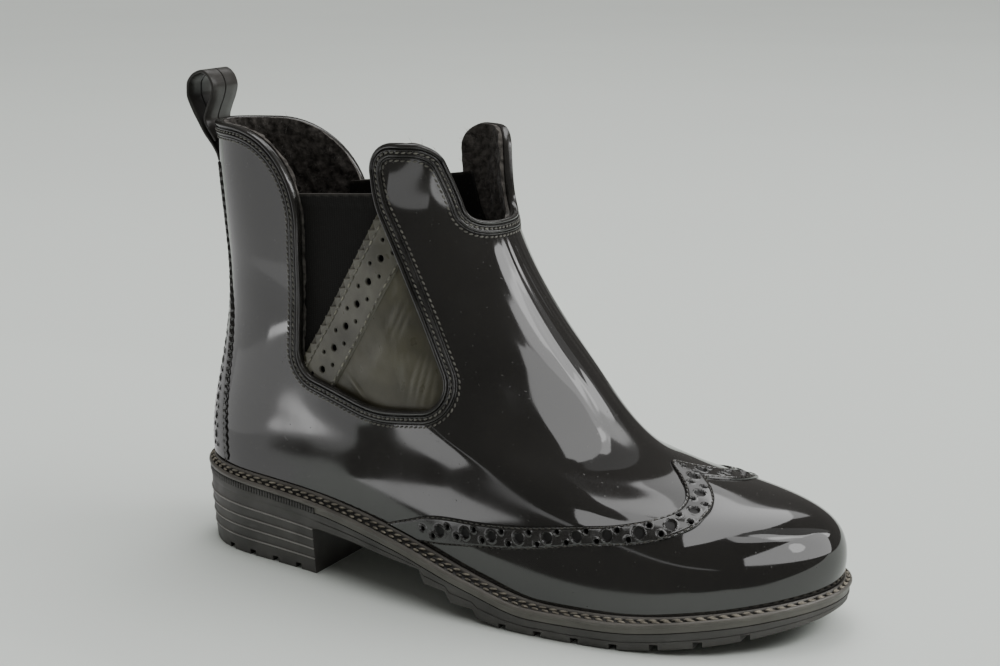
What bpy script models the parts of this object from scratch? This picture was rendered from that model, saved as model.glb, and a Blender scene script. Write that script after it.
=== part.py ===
"""Rubber ankle boot for the right foot: an elastic-sided pull-on with wing-tip trim.

The tables are in millimetres: x runs from the back of the heel to the toe, y to the inner (big-toe) side
and z up from the floor. Objects are built in metres, under one empty that puts the origin at the middle of
the heel tread. Every piece of the upper comes from one function, surface(u, v): u goes once round the foot,
from the back along the outer side to the toe and home along the inner side, and v climbs from the welt to
the top of the shaft.
"""

import math
from collections import namedtuple

import bmesh
import bpy
import numpy as np

MM = 0.001

# Driving sizes, in millimetres
HEEL_TREAD_X = 39.7
WALL = 2.2
GAP = 0.3
TRIM = 1.0
BINDING_WIDTH = 5.5
BINDING_THICK = 0.8
GORE_THICK = 1.2
GORE_TOP = 151.2
GORE_TOP_RISE = 0.105
GORE_UNDER = 6.0
PANEL_UNDER = 4.5
STRIP_SIDE_GAP = 0.4
BAND_REACH = 8.0
GORE_STRIP_WIDTH = 19.0
LOOP_WIDTH = 17.0
LOOP_THICK = 1.3
LOOP_WRAP_RADIUS = 20.0
SHAFT_OUTER = 38.0
SHAFT_INNER = 36.0
LEDGE_ENDS = 3.2
LEDGE_SIDES = 6.5
WELT_UNDER = 9.0
WELT_THICK = 4.3
HEEL_BREAST_X = 69.0
HEEL_TAPER = 1.6
INSOLE_THICK = 2.8
GROOVE_WIDTH = 3.0
GROOVE_DEPTH = 2.4

# How finely things are faceted
COLUMNS = 34
ROWS = 17
SOLE_STATIONS = 23
HEEL_STATIONS = 10
STATIONS_APART = 0.04
SHARP_ANGLE = 40.0
SAME_POINT = 0.001
TANGENT_STEP = 0.01

# How far the cutters reach
REACH = 120.0
SLANT_OVERRUN = 40.0
FAR_BACK = -40.0
FAR_FRONT = 300.0
FAR_UP = 230.0
FAR_DOWN = -20.0

# How the upper's rings are rounded
NET_COLUMNS = 48
END_ROUND = 2.1
HEEL_ROUND = 2.2
FEATHER_FADE = 4
INNER_TOE_SHARPER = 0.25
SLIM_LENGTH = 100.0
SLIM_POWER = 1.3
OUTER_SLIM_LIMIT = 0.45

# Half-widths of the upper at the welt, before its ends are rounded
Plan = namedtuple("Plan", "x outer inner")
PLAN = [
    Plan(-2, 27.5, 27.5),
    Plan(33, 29.0, 29.0),
    Plan(70, 32.5, 28.5),
    Plan(105, 36.5, 27.0),
    Plan(145, 42.5, 32.0),
    Plan(180, 45.0, 39.0),
    Plan(205, 44.5, 41.5),
    Plan(235, 41.0, 40.5),
    Plan(272, 33.0, 36.0),
]

# Height of the feather line, where the upper meets the welt, of the welt's rim, and the foot's bend to the big toe
Height = namedtuple("Height", "x z")
FEATHER = [
    Height(-2, 37.0),
    Height(33, 35.0),
    Height(75, 32.4),
    Height(110, 27.2),
    Height(145, 17.6),
    Height(172, 11.2),
    Height(200, 11.4),
    Height(235, 14.8),
    Height(275, 19.8),
]
RIM = [
    Height(-2, 35.5),
    Height(33, 33.2),
    Height(75, 30.6),
    Height(110, 25.6),
    Height(145, 16.8),
    Height(172, 11.2),
    Height(200, 11.4),
    Height(235, 14.8),
    Height(275, 19.8),
]
Bend = namedtuple("Bend", "x y")
MIDDLE = [Bend(0, 0), Bend(60, 0), Bend(110, -2.5), Bend(180, 0), Bend(270, 8)]

# Rings from the welt to the top of the shaft: back and front point, share of shaft (the rest is foot), girth,
# length and sharpness of the round front end, length of the round back end, slimming of the back half
Ring = namedtuple("Ring", "back_x back_z front_x front_z shaft girth toe_cap toe_power heel_cap slim")
RINGS = [
    Ring(0.0, 35.5, 270.5, 18.5, 0.00, 1.000, 60, 2.30, 34, 0.00),
    Ring(-0.8, 43.0, 272.2, 27.5, 0.00, 0.992, 61, 2.30, 35, 0.00),
    Ring(-0.5, 51.0, 270.0, 37.5, 0.02, 0.978, 62, 2.20, 36, 0.01),
    Ring(0.6, 59.0, 262.5, 44.0, 0.05, 0.962, 66, 2.10, 36, 0.03),
    Ring(2.2, 67.0, 250.0, 47.4, 0.10, 0.952, 72, 2.00, 36, 0.07),
    Ring(4.2, 75.5, 235.5, 49.6, 0.18, 0.952, 78, 1.85, 35, 0.12),
    Ring(6.3, 84.0, 221.0, 53.5, 0.28, 0.962, 84, 1.75, 34, 0.18),
    Ring(8.0, 93.0, 206.5, 57.5, 0.40, 0.975, 88, 1.65, 33, 0.25),
    Ring(9.3, 102.0, 194.0, 65.5, 0.54, 0.990, 88, 1.60, 32, 0.32),
    Ring(9.0, 110.5, 183.0, 77.0, 0.68, 1.000, 84, 1.60, 31, 0.39),
    Ring(8.5, 119.5, 172.2, 90.5, 0.80, 1.000, 76, 1.70, 30, 0.45),
    Ring(8.0, 129.0, 160.8, 103.0, 0.90, 1.000, 66, 1.75, 29, 0.49),
    Ring(7.4, 139.0, 150.0, 117.0, 0.96, 1.000, 56, 1.85, 28, 0.54),
    Ring(6.6, 149.0, 141.0, 131.5, 1.00, 1.000, 50, 1.95, 27, 0.60),
    Ring(5.8, 159.0, 134.5, 147.0, 1.00, 1.000, 42, 2.00, 26, 0.66),
    Ring(5.2, 170.0, 131.0, 164.0, 1.00, 1.000, 26, 2.00, 26, 0.70),
    Ring(4.6, 184.0, 130.0, 184.0, 1.00, 1.000, 20, 2.00, 26, 0.70),
]
TOP_RING = len(RINGS) - 1

# The top edge from the side: corners from the back of the collar to the throat, each rounded
Corner = namedtuple("Corner", "x z radius")
GORE_CORNERS = [Corner(57.0, 80.5, 11), Corner(97.0, 71.3, 50), Corner(134.2, 76.8, 10.5)]
TOP_LINE = [
    Corner(FAR_BACK, 174.8, 0),
    Corner(59.0, 174.8, 36),
    *GORE_CORNERS,
    Corner(99.6, 152.6, 40),
    Corner(97.0, 174.6, 10),
    Corner(122.0, 174.6, 9),
    Corner(130.2, 143.6, 9),
    Corner(FAR_FRONT, 143.6, 0),
]
GORE_BACK_X = 58.5
GORE_FRONT_X = 98.3
PINKED_TOP = (98.4, 147.6)
PINKED_FOOT = (59.6, 88.8)

# Trim bands on the outer side, in (u, v): points of the upper or front edge, and of the other edge across
Border = namedtuple("Border", "u v other_u other_v")
WING_BAND = [
    Border(1.345, 0.12, 1.475, 0.12),
    Border(1.405, 0.64, 1.540, 0.45),
    Border(1.510, 1.42, 1.620, 0.88),
    Border(1.690, 2.05, 1.740, 1.36),
    Border(1.967, 2.90, 2.000, 2.17),
    Border(2.210, 3.52, 2.235, 2.65),
    Border(2.424, 4.21, 2.420, 3.30),
    Border(2.637, 5.10, 2.600, 4.20),
    Border(2.796, 5.81, 2.800, 5.02),
    Border(2.980, 6.59, 3.000, 5.72),
    Border(math.pi, 7.10, math.pi, 6.10),
]
BACK_BAND = [
    Border(0.415, 13.8, 0.050, 13.8),
    Border(0.400, 13.0, 0.050, 13.0),
    Border(0.330, 11.0, 0.040, 11.0),
    Border(0.320, 9.3, 0.050, 9.3),
    Border(0.420, 7.6, 0.120, 7.6),
    Border(0.470, 6.0, 0.190, 6.0),
    Border(0.490, 4.5, 0.220, 4.5),
    Border(0.510, 3.0, 0.245, 3.0),
    Border(0.535, 1.5, 0.265, 1.5),
    Border(0.545, 0.2, 0.275, 0.2),
]

# Parts of the upper's face that pieces are laid over, in (u, v)
Patch = namedtuple("Patch", "u_from u_to v_from v_to")
WHOLE = Patch(0, 2 * math.pi, 0, TOP_RING)
COLLAR_PATCH = Patch(0, 2 * math.pi, 4.0, TOP_RING)
GORE_PATCH = Patch(0.71, 2.43, 4.0, 15.0)
WING_PATCH = Patch(1.0, 2 * math.pi - 1.0, 0.0, 8.8)
BACK_PATCH = Patch(0.0, 0.86, 0.0, TOP_RING)

# Underside of the outsole from heel seat to toe, with the stepped lugs at the back of the forepart
LUGS_END_X = 160.4
UNDERSIDE = [
    Height(-6, 22.8),
    Height(69, 19.4),
    Height(90, 18.4),
    Height(110, 16.4),
    Height(124.0, 15.5),
    Height(126.2, 10.2),
    Height(136.0, 9.3),
    Height(138.2, 5.4),
    Height(148.0, 4.9),
    Height(150.2, 1.8),
    Height(LUGS_END_X, 0.0),
    Height(206, 0.0),
    Height(231, 3.0),
    Height(250, 6.2),
    Height(266, 9.8),
    Height(279, 14.5),
]

# Section of the welt: share of the ledge outwards, millimetres added to it, height over the feather line
Edge = namedtuple("Edge", "ledge out z")
WELT_SECTION = [
    Edge(0, -WELT_UNDER, -GAP),
    Edge(0, 0.6, -GAP),
    Edge(1, -1.4, -1.4),
    Edge(1, -0.2, -1.8),
    Edge(1, 0.0, -2.6),
    Edge(1, -0.2, -3.5),
    Edge(1, -1.2, -4.1),
    Edge(1, -1.2, -GAP - WELT_THICK),
    Edge(0, -WELT_UNDER, -GAP - WELT_THICK),
]

INSOLE_SECTION = [
    Edge(0, -WALL - 2 * GAP, 0.0),
    Edge(0, -WALL - 2 * GAP, 2.0),
    Edge(0, -WALL - 2 * GAP - 1.0, INSOLE_THICK),
]

# Side of the outsole, from the tread up: share of its height, and how far it lies inside the welt's rim
Side = namedtuple("Side", "share inset")
SOLE_SIDE = [
    Side(0.00, 2.2),
    Side(0.14, 1.2),
    Side(0.50, 0.9),
    Side(0.56, 1.6),
    Side(0.66, 1.6),
    Side(0.72, 0.7),
    Side(1.00, 0.7),
]
HEEL_TOPS = (0.0, 0.33, 0.555, 0.775, 1.0)
HEEL_LAYER = [Side(0.00, 1.9), Side(0.24, 1.0), Side(0.76, 1.0)]

# Cross grooves, by their middle
HEEL_GROOVES = [21.6 + 12.5 * step for step in range(4)]
FOREPART_GROOVES = [160.9 + 14.5 * step for step in range(7)]

# Pull loop from the side: its ribbon's middle line, up from the back of the shaft and down to it again, and how
# far it wraps round the shaft
Ribbon = namedtuple("Ribbon", "x z wrap")
LOOP_LINE = [
    Ribbon(3.9, 166.5, 0.6),
    Ribbon(3.3, 167.8, 0.5),
    Ribbon(2.4, 169.2, 0.4),
    Ribbon(1.0, 171.6, 0.25),
    Ribbon(-0.1, 175.0, 0.05),
    Ribbon(1.4, 179.5, 0.0),
    Ribbon(3.4, 184.0, 0.0),
    Ribbon(4.4, 188.0, 0.0),
    Ribbon(3.0, 192.0, 0.0),
    Ribbon(-0.6, 194.4, 0.0),
    Ribbon(-5.2, 192.8, 0.0),
    Ribbon(-8.1, 188.8, 0.0),
    Ribbon(-8.3, 184.8, 0.0),
    Ribbon(-5.7, 178.4, 0.0),
    Ribbon(-2.8, 173.4, 0.05),
    Ribbon(-0.9, 169.6, 0.3),
    Ribbon(2.6, 164.4, 0.7),
    Ribbon(4.2, 161.2, 0.9),
    Ribbon(4.9, 158.5, 1.0),
]

# Finishes: colour, roughness and metallic value
Finish = namedtuple("Finish", "colour roughness metallic")
FINISHES = {
    "gloss_rubber": Finish((0.010, 0.010, 0.010), 0.10, 0.0),
    "satin_rubber": Finish((0.035, 0.033, 0.028), 0.45, 0.0),
    "trim_rubber": Finish((0.060, 0.056, 0.048), 0.50, 0.0),
    "elastic": Finish((0.010, 0.010, 0.010), 0.85, 0.0),
    "olive_panel": Finish((0.050, 0.046, 0.028), 0.42, 0.0),
    "sole_rubber": Finish((0.040, 0.037, 0.033), 0.60, 0.0),
    "loop_rubber": Finish((0.050, 0.047, 0.042), 0.40, 0.0),
    "footbed": Finish((0.020, 0.020, 0.020), 0.90, 0.0),
}


def column(rows, name):
    """One named column of a table as an array."""
    return np.array([getattr(row, name) for row in rows], float)


def smooth(x, xs, ys):
    """Monotone cubic through the points (xs, ys), held level past both ends."""
    step = np.diff(xs)
    slope = np.diff(ys) / step
    tangent = np.concatenate([slope[:1], np.zeros(len(xs) - 2), slope[-1:]])
    for i in range(1, len(xs) - 1):
        before, after = slope[i - 1], slope[i]
        if before * after > 0:
            heavy, light = 2 * step[i] + step[i - 1], step[i] + 2 * step[i - 1]
            tangent[i] = (heavy + light) / (heavy / before + light / after)
    x = np.clip(x, xs[0], xs[-1])
    i = np.clip(np.searchsorted(xs, x, "right") - 1, 0, len(xs) - 2)
    t = (x - xs[i]) / step[i]
    start = (1 + 2 * t) * (1 - t) ** 2 * ys[i] + t * (1 - t) ** 2 * step[i] * tangent[i]
    end = t * t * (3 - 2 * t) * ys[i + 1] + t * t * (t - 1) * step[i] * tangent[i + 1]
    return start + end


def feather_height(x):
    return smooth(x, column(FEATHER, "x"), column(FEATHER, "z"))


def rim_height(x):
    return smooth(x, column(RIM, "x"), column(RIM, "z"))


def round_end(distance, length, power):
    """Share of the full width at this distance from a rounded end."""
    inside = np.abs(1 - np.minimum(distance / length, 1)) ** power
    return np.clip(1 - inside, 0, 1) ** (1 / END_ROUND)


def ring_points(ring, rank):
    """Control points of one ring. The lowest rings also follow the curve of the feather line."""
    u = np.arange(NET_COLUMNS) * 2 * math.pi / NET_COLUMNS
    outer = u < math.pi
    t = (1 - np.cos(u)) / 2
    x = ring.back_x + (ring.front_x - ring.back_x) * t
    z = ring.back_z + (ring.front_z - ring.back_z) * t
    first = RINGS[0]
    along = np.clip((x - first.back_x) / (first.front_x - first.back_x), 0, 1)
    sag = feather_height(x) - (first.back_z + (first.front_z - first.back_z) * along)
    z = z + sag * (1 - rank / TOP_RING) ** FEATHER_FADE
    length = math.hypot(ring.front_x - ring.back_x, ring.front_z - ring.back_z)
    from_back, from_front = t * length, (1 - t) * length
    toe_power = np.where(outer, ring.toe_power, ring.toe_power - INNER_TOE_SHARPER)
    ends = round_end(from_front, ring.toe_cap, toe_power) * round_end(from_back, ring.heel_cap, HEEL_ROUND)
    slim = np.where(outer, np.minimum(ring.slim, OUTER_SLIM_LIMIT), ring.slim)
    ends = ends * (1 - slim * (1 - np.clip(from_back / SLIM_LENGTH, 0, 1) ** SLIM_POWER))
    xs = column(PLAN, "x")
    foot = np.where(outer, smooth(x, xs, column(PLAN, "outer")), smooth(x, xs, column(PLAN, "inner")))
    shaft = np.where(outer, SHAFT_OUTER, SHAFT_INNER)
    half = (foot * (1 - ring.shaft) + shaft * ring.shaft) * ring.girth * ends
    middle = smooth(x, column(MIDDLE, "x"), column(MIDDLE, "y")) * (1 - ring.shaft)
    return np.stack([x, middle + np.where(outer, -half, half), z], axis=1)


def control_net():
    """All rings, with one more row past each end so that the surface reaches its first and last ring."""
    rows = [ring_points(ring, rank) for rank, ring in enumerate(RINGS)]
    return np.array([2 * rows[0] - rows[1], *rows, 2 * rows[-1] - rows[-2]])


NET = control_net()


def spline_weights(t):
    return np.stack([(1 - t) ** 3, 3 * t**3 - 6 * t**2 + 4, -3 * t**3 + 3 * t**2 + 3 * t + 1, t**3]) / 6


def surface(u, v):
    """Points of the upper's outer face, in millimetres: a cubic B-spline both ways over the control net."""
    u, v = np.broadcast_arrays(np.asarray(u, float), np.asarray(v, float))
    across = (u / (2 * math.pi) * NET_COLUMNS) % NET_COLUMNS
    up = np.clip(v, 0, TOP_RING)
    i = np.floor(across).astype(int)
    j = np.minimum(np.floor(up).astype(int), TOP_RING - 1)
    wide, high = spline_weights(across - i), spline_weights(up - j)
    point = np.zeros(u.shape + (3,))
    for a in range(4):
        for b in range(4):
            point += (wide[a] * high[b])[..., None] * NET[j + b, (i + a - 1) % NET_COLUMNS]
    return point


def unit(vectors):
    return vectors / np.linalg.norm(vectors, axis=-1, keepdims=True)


def normal(u, v):
    """Outward unit normal of the upper's outer face."""
    step = TANGENT_STEP
    low = np.clip(np.asarray(v) - step, 0, TOP_RING)
    high = np.clip(np.asarray(v) + step, 0, TOP_RING)
    return unit(np.cross(surface(u + step, v) - surface(u - step, v), surface(u, high) - surface(u, low)))


def offset_surface(u, v, offset):
    return surface(u, v) + normal(u, v) * offset


def foot_line(u):
    """The feather line, where the upper meets the welt."""
    return surface(u, np.zeros_like(u))


def seat_height(x):
    """Height of the feather line at this x."""
    line = foot_line(np.linspace(0, math.pi, 361))
    return np.interp(x, line[:, 0], line[:, 2])


def outline(u, out):
    """The feather line moved outwards by out millimetres, seen from above."""
    along = foot_line(u + TANGENT_STEP) - foot_line(u - TANGENT_STEP)
    outwards = unit(np.stack([along[:, 1], -along[:, 0]], axis=1))
    return foot_line(u)[:, :2] + outwards * np.reshape(out, (-1, 1))


def ledge(u):
    """How far the welt's rim stands out from the upper."""
    return LEDGE_ENDS + (LEDGE_SIDES - LEDGE_ENDS) * np.sin(u) ** 2


def clear_scene():
    for old in list(bpy.data.objects):
        bpy.data.objects.remove(old, do_unlink=True)


def new_collection(name):
    collection = bpy.data.collections.new(name)
    bpy.context.scene.collection.children.link(collection)
    return collection


def finish_material(name):
    """One Principled material for each finish, shared by its pieces."""
    if name in bpy.data.materials:
        return bpy.data.materials[name]
    finish = FINISHES[name]
    material = bpy.data.materials.new(name)
    material.use_nodes = True
    shader = material.node_tree.nodes["Principled BSDF"]
    shader.inputs["Base Color"].default_value = (*finish.colour, 1)
    shader.inputs["Roughness"].default_value = finish.roughness
    shader.inputs["Metallic"].default_value = finish.metallic
    return material


def add_object(name, mesh, home, finish=None):
    """Puts a mesh into a collection under the boot's empty. Without a finish it is a cutter."""
    piece = bpy.data.objects.new(name, mesh)
    home["collection"].objects.link(piece)
    piece.parent = home["empty"]
    if finish:
        mesh.materials.append(finish_material(finish))
        mesh.shade_smooth()
        mesh.set_sharp_from_angle(angle=math.radians(SHARP_ANGLE))
    else:
        piece.hide_render = True
        piece.display_type = "WIRE"
    return piece


def mesh_from(name, points, faces):
    """A mesh from points in millimetres. Doubles are merged, and a closed mesh gets its faces turned out."""
    mesh = bpy.data.meshes.new(name)
    mesh.from_pydata((np.asarray(points) * MM).tolist(), [], faces)
    work = bmesh.new()
    work.from_mesh(mesh)
    bmesh.ops.remove_doubles(work, verts=work.verts, dist=SAME_POINT * MM)
    if not any(edge.is_boundary for edge in work.edges):
        bmesh.ops.recalc_face_normals(work, faces=work.faces)
    work.to_mesh(mesh)
    work.free()
    return mesh


def grid_faces(rows, columns):
    """Quads of a grid of points kept row by row."""
    faces = []
    for row in range(rows - 1):
        for column_index in range(columns - 1):
            here = row * columns + column_index
            faces.append((here, here + 1, here + columns + 1, here + columns))
    return faces


def add_wall(piece, thickness, side):
    """Gives an open sheet its wall: side -1 grows inwards, 1 outwards, 0 both ways."""
    wall = piece.modifiers.new("Wall", "SOLIDIFY")
    wall.thickness = thickness * MM
    wall.offset = side
    wall.use_even_offset = True


def cut(piece, cutter, operation):
    boolean = piece.modifiers.new(cutter.name, "BOOLEAN")
    boolean.operation = operation
    boolean.solver = "EXACT"
    boolean.object = cutter


def sheet(name, patch, offset, home, finish):
    """An open sheet over a patch, along the facet lines shared by all pieces of the upper."""
    pitch = 2 * math.pi / COLUMNS
    us = np.arange(math.floor(patch.u_from / pitch), math.ceil(patch.u_to / pitch) + 1) * pitch
    lines = np.linspace(0, TOP_RING, ROWS)
    vs = lines[(lines >= patch.v_from) & (lines <= patch.v_to)]
    u, v = np.meshgrid(us, vs)
    points = offset_surface(u.ravel(), v.ravel(), offset)
    # Every layer is split along the same diagonals, so that the layers stay parallel
    faces = []
    for a, b, c, d in grid_faces(len(vs), len(us)):
        faces += [(a, b, c), (a, c, d)]
    return add_object(name, mesh_from(name, points, faces), home, finish)


def rounded_line(corners, shift, steps=4):
    """The corners as a line with round corners, moved shift millimetres to its right-hand side."""
    points = np.array([(corner.x, corner.z) for corner in corners], float)
    ahead = unit(np.diff(points, axis=0))
    right = np.column_stack([ahead[:, 1], -ahead[:, 0]])
    line = [points[0] + right[0] * shift]
    for k in range(1, len(points) - 1):
        before, after = ahead[k - 1], ahead[k]
        turn = math.atan2(before[0] * after[1] - before[1] * after[0], before @ after)
        half = abs(turn) / 2
        # The moved corner lies where the two moved edges cross
        corner = points[k] + (right[k - 1] + right[k]) * shift / (1 + right[k - 1] @ right[k])
        radius = max(corners[k].radius + math.copysign(shift, turn), 0.5)
        start = corner - before * radius * math.tan(half)
        inwards = right[k - 1] * -math.copysign(1, turn)
        middle = start + inwards * radius
        for step in range(steps + 1):
            angle = turn * step / steps
            spoke = -inwards * radius
            line.append(middle + np.array([
                spoke[0] * math.cos(angle) - spoke[1] * math.sin(angle),
                spoke[0] * math.sin(angle) + spoke[1] * math.cos(angle),
            ]))
    line.append(points[-1] + right[-1] * shift)
    return line


def prism(name, outline, home):
    """A cutter with this outline from the side, right through the boot."""
    curve = bpy.data.curves.new(name, "CURVE")
    curve.dimensions = "2D"
    curve.fill_mode = "BOTH"
    curve.extrude = REACH * MM
    spline = curve.splines.new("POLY")
    spline.points.add(len(outline) - 1)
    for point, (x, z) in zip(spline.points, outline):
        point.co = (x * MM, z * MM, 0, 1)
    spline.use_cyclic_u = True
    flat = bpy.data.objects.new(name + "_outline", curve)
    home["collection"].objects.link(flat)
    flat.rotation_euler = (math.pi / 2, 0, 0)
    bpy.context.view_layer.update()
    drawn = flat.evaluated_get(bpy.context.evaluated_depsgraph_get())
    mesh = bpy.data.meshes.new_from_object(drawn)
    work = bmesh.new()
    work.from_mesh(mesh)
    bmesh.ops.remove_doubles(work, verts=work.verts, dist=SAME_POINT * MM)
    bmesh.ops.recalc_face_normals(work, faces=work.faces)
    work.to_mesh(mesh)
    work.free()
    cutter = add_object(name, mesh, home)
    cutter.rotation_euler = flat.rotation_euler
    bpy.data.objects.remove(flat)
    return cutter


def box(name, low, high, home):
    """A box-shaped cutter between two corners."""
    mesh = bpy.data.meshes.new(name)
    work = bmesh.new()
    bmesh.ops.create_cube(work, size=1)
    low, high = np.array(low) * MM, np.array(high) * MM
    bmesh.ops.scale(work, vec=high - low, verts=work.verts)
    bmesh.ops.translate(work, vec=(low + high) / 2, verts=work.verts)
    work.to_mesh(mesh)
    work.free()
    return add_object(name, mesh, home)


def band(name, borders, home, samples):
    """A cutter that stands square to the upper's face between two edge lines on it."""
    share = np.linspace(0, 1, len(borders))
    t = np.linspace(0, 1, samples)
    u, v, other_u, other_v = (smooth(t, share, column(borders, name)) for name in Border._fields)
    points = [surface(u + (other_u - u) * across, v + (other_v - v) * across) for across in (0, 0.5, 1)]
    cutter = add_object(name, mesh_from(name, np.concatenate(points), grid_faces(3, samples)), home)
    add_wall(cutter, BAND_REACH, 0)
    return cutter


def mirrored(borders):
    """The same edges on the inner side of the foot."""
    turn = 2 * math.pi
    return [Border(turn - row.u, row.v, turn - row.other_u, row.other_v) for row in borders]


def mirrored_patch(patch):
    return patch._replace(u_from=2 * math.pi - patch.u_to, u_to=2 * math.pi - patch.u_from)


def make_upper(parts, cutters):
    upper = sheet("upper", WHOLE, 0.0, parts, "gloss_rubber")
    add_wall(upper, WALL, -1)
    edge = rounded_line(TOP_LINE, 0.0)
    opening = prism("collar_opening", [*edge, (FAR_FRONT, FAR_UP), (FAR_BACK, FAR_UP)], cutters)
    cut(upper, opening, "DIFFERENCE")
    return opening


def make_binding(parts, cutters, opening):
    binding = sheet("collar_binding", COLLAR_PATCH, GAP, parts, "gloss_rubber")
    add_wall(binding, BINDING_THICK, 1)
    cut(binding, opening, "DIFFERENCE")
    edge = rounded_line(TOP_LINE, BINDING_WIDTH)
    below = prism("below_binding", [*edge, (FAR_FRONT, FAR_DOWN), (FAR_BACK, FAR_DOWN)], cutters)
    cut(binding, below, "DIFFERENCE")


def slanted_band(width):
    """A four-sided outline from the pinked edge of the gore panel, width millimetres towards the toe."""
    top, foot = np.array(PINKED_TOP), np.array(PINKED_FOOT)
    ahead = unit(foot - top)
    across = np.array([-ahead[1], ahead[0]])
    top, foot = top - ahead * SLANT_OVERRUN, foot + ahead * SLANT_OVERRUN
    return [top, foot, foot + across * width, top + across * width]


def gore_top(x):
    """Height of the elastic's top edge, which rises towards the toe."""
    return GORE_TOP + GORE_TOP_RISE * (x - GORE_BACK_X)


def gore_outline(shift):
    """The gore opening from the side, grown by shift millimetres, with a straight top."""
    ends = [Corner(x, gore_top(x), 0) for x in (GORE_BACK_X, GORE_FRONT_X)]
    line = rounded_line([ends[0], *GORE_CORNERS, ends[1]], shift)
    return [(x, min(z, gore_top(x))) for x, z in line]


def make_gores(parts, cutters):
    """Elastic, olive panel and perforated strip in each side opening, one behind the other."""
    behind = -WALL - GAP
    elastic = prism("gore_edge", gore_outline(GORE_UNDER), cutters)
    hidden = prism("panel_edge", gore_outline(PANEL_UNDER), cutters)
    shown = prism("strip_edge", gore_outline(-STRIP_SIDE_GAP), cutters)
    slanted = prism("panel_slant", slanted_band(REACH), cutters)
    strip_side = prism("strip_slant", slanted_band(GORE_STRIP_WIDTH), cutters)
    layers = [
        ("gore", behind - TRIM - GAP, GORE_THICK, -1, "elastic", [elastic]),
        ("gore_panel", behind, TRIM, -1, "olive_panel", [hidden, slanted]),
        ("gore_strip", behind + GAP, TRIM, 1, "olive_panel", [shown, strip_side]),
    ]
    for foot_side, patch in (("lateral", GORE_PATCH), ("medial", mirrored_patch(GORE_PATCH))):
        for layer, offset, thick, grows, finish, edges in layers:
            piece = sheet(f"{layer}_{foot_side}", patch, offset, parts, finish)
            add_wall(piece, thick, grows)
            for edge in edges:
                cut(piece, edge, "INTERSECT")


def make_wing_strip(parts, cutters):
    borders = WING_BAND + mirrored(WING_BAND)[-2::-1]
    strip = sheet("wing_strip", WING_PATCH, GAP, parts, "trim_rubber")
    add_wall(strip, TRIM, 1)
    cut(strip, band("wing_band", borders, cutters, samples=33), "INTERSECT")


def make_back_strips(parts, cutters):
    sides = [
        ("lateral", BACK_BAND, BACK_PATCH),
        ("medial", mirrored(BACK_BAND), mirrored_patch(BACK_PATCH)),
    ]
    for foot_side, borders, patch in sides:
        strip = sheet(f"back_strip_{foot_side}", patch, GAP, parts, "trim_rubber")
        add_wall(strip, TRIM, 1)
        cut(strip, band(f"back_band_{foot_side}", borders, cutters, samples=12), "INTERSECT")


def station_at(x):
    """The angle round the outer side at which the feather line reaches this x."""
    u = np.linspace(0, math.pi, 721)
    return float(np.interp(x, surface(u, np.zeros_like(u))[:, 0], u))


def stations(last, count, xs=()):
    """Angles from the back of the heel to the last one, with one at each x of the list."""
    wanted = [station_at(x) for x in xs]
    spread = [
        u for u in np.linspace(0, last, count)
        if all(abs(u - known) > STATIONS_APART for known in wanted)
    ]
    return np.array(sorted(spread + wanted))


Level = namedtuple("Level", "out height")


def level_ring(u, level):
    """One outline of a sole piece: out(u) from the feather line, at height(u, x)."""
    flat = outline(u, level.out(u))
    return np.column_stack([flat, level.height(u, flat[:, 0])])


def sole_loft(name, us, levels, home, finish):
    """A solid between outlines one over another, lowest first, for angles from the back forwards."""
    sides = [[level_ring(side_us, level) for level in levels] for side_us in (us, -us)]
    points = np.concatenate([ring for side in sides for ring in side])
    count, deep = len(us), len(levels)

    def index(side, level, i):
        return (side * deep + level) * count + i

    faces = []
    for i in range(count - 1):
        for level in range(deep - 1):
            for side in (0, 1):
                faces.append((index(side, level, i), index(side, level, i + 1),
                              index(side, level + 1, i + 1), index(side, level + 1, i)))
        for level in (0, deep - 1):
            faces.append((index(0, level, i), index(0, level, i + 1),
                          index(1, level, i + 1), index(1, level, i)))
    if not math.isclose(us[-1], math.pi):
        for level in range(deep - 1):
            faces.append((index(0, level, count - 1), index(0, level + 1, count - 1),
                          index(1, level + 1, count - 1), index(1, level, count - 1)))
    return add_object(name, mesh_from(name, points, faces), home, finish)


def constant(out):
    return lambda u: np.full_like(u, out)


def over_seat(z, rim=0.0):
    """Height z over the feather line, or, by the share rim, over the line of the welt's rim."""
    return lambda u, x: seat_height(x) * (1 - rim) + rim_height(x) * rim + z


def section_level(edge):
    return Level(lambda u: edge.ledge * ledge(u) + edge.out, over_seat(edge.z, edge.ledge))


def underside(u):
    return np.interp(foot_line(u)[:, 0], column(UNDERSIDE, "x"), column(UNDERSIDE, "z"))


def make_welt(parts):
    half = stations(math.pi, SOLE_STATIONS)
    us = np.concatenate([half, -half[-2::-1]])
    rings = [level_ring(us, section_level(edge)) for edge in [*WELT_SECTION, WELT_SECTION[0]]]
    mesh = mesh_from("welt", np.concatenate(rings), grid_faces(len(rings), len(us)))
    add_object("welt", mesh, parts, "satin_rubber")


def cut_grooves(piece, xs, cutters):
    """Cross grooves cut up into the tread, each from the height of the tread there."""
    for step, x in enumerate(xs):
        tread = 0.0 if x < HEEL_BREAST_X else np.interp(x, column(UNDERSIDE, "x"), column(UNDERSIDE, "z"))
        low = (x - GROOVE_WIDTH / 2, -REACH, FAR_DOWN)
        high = (x + GROOVE_WIDTH / 2, REACH, tread + GROOVE_DEPTH)
        cut(piece, box(f"{piece.name}_groove_{step + 1}", low, high, cutters), "DIFFERENCE")


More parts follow.
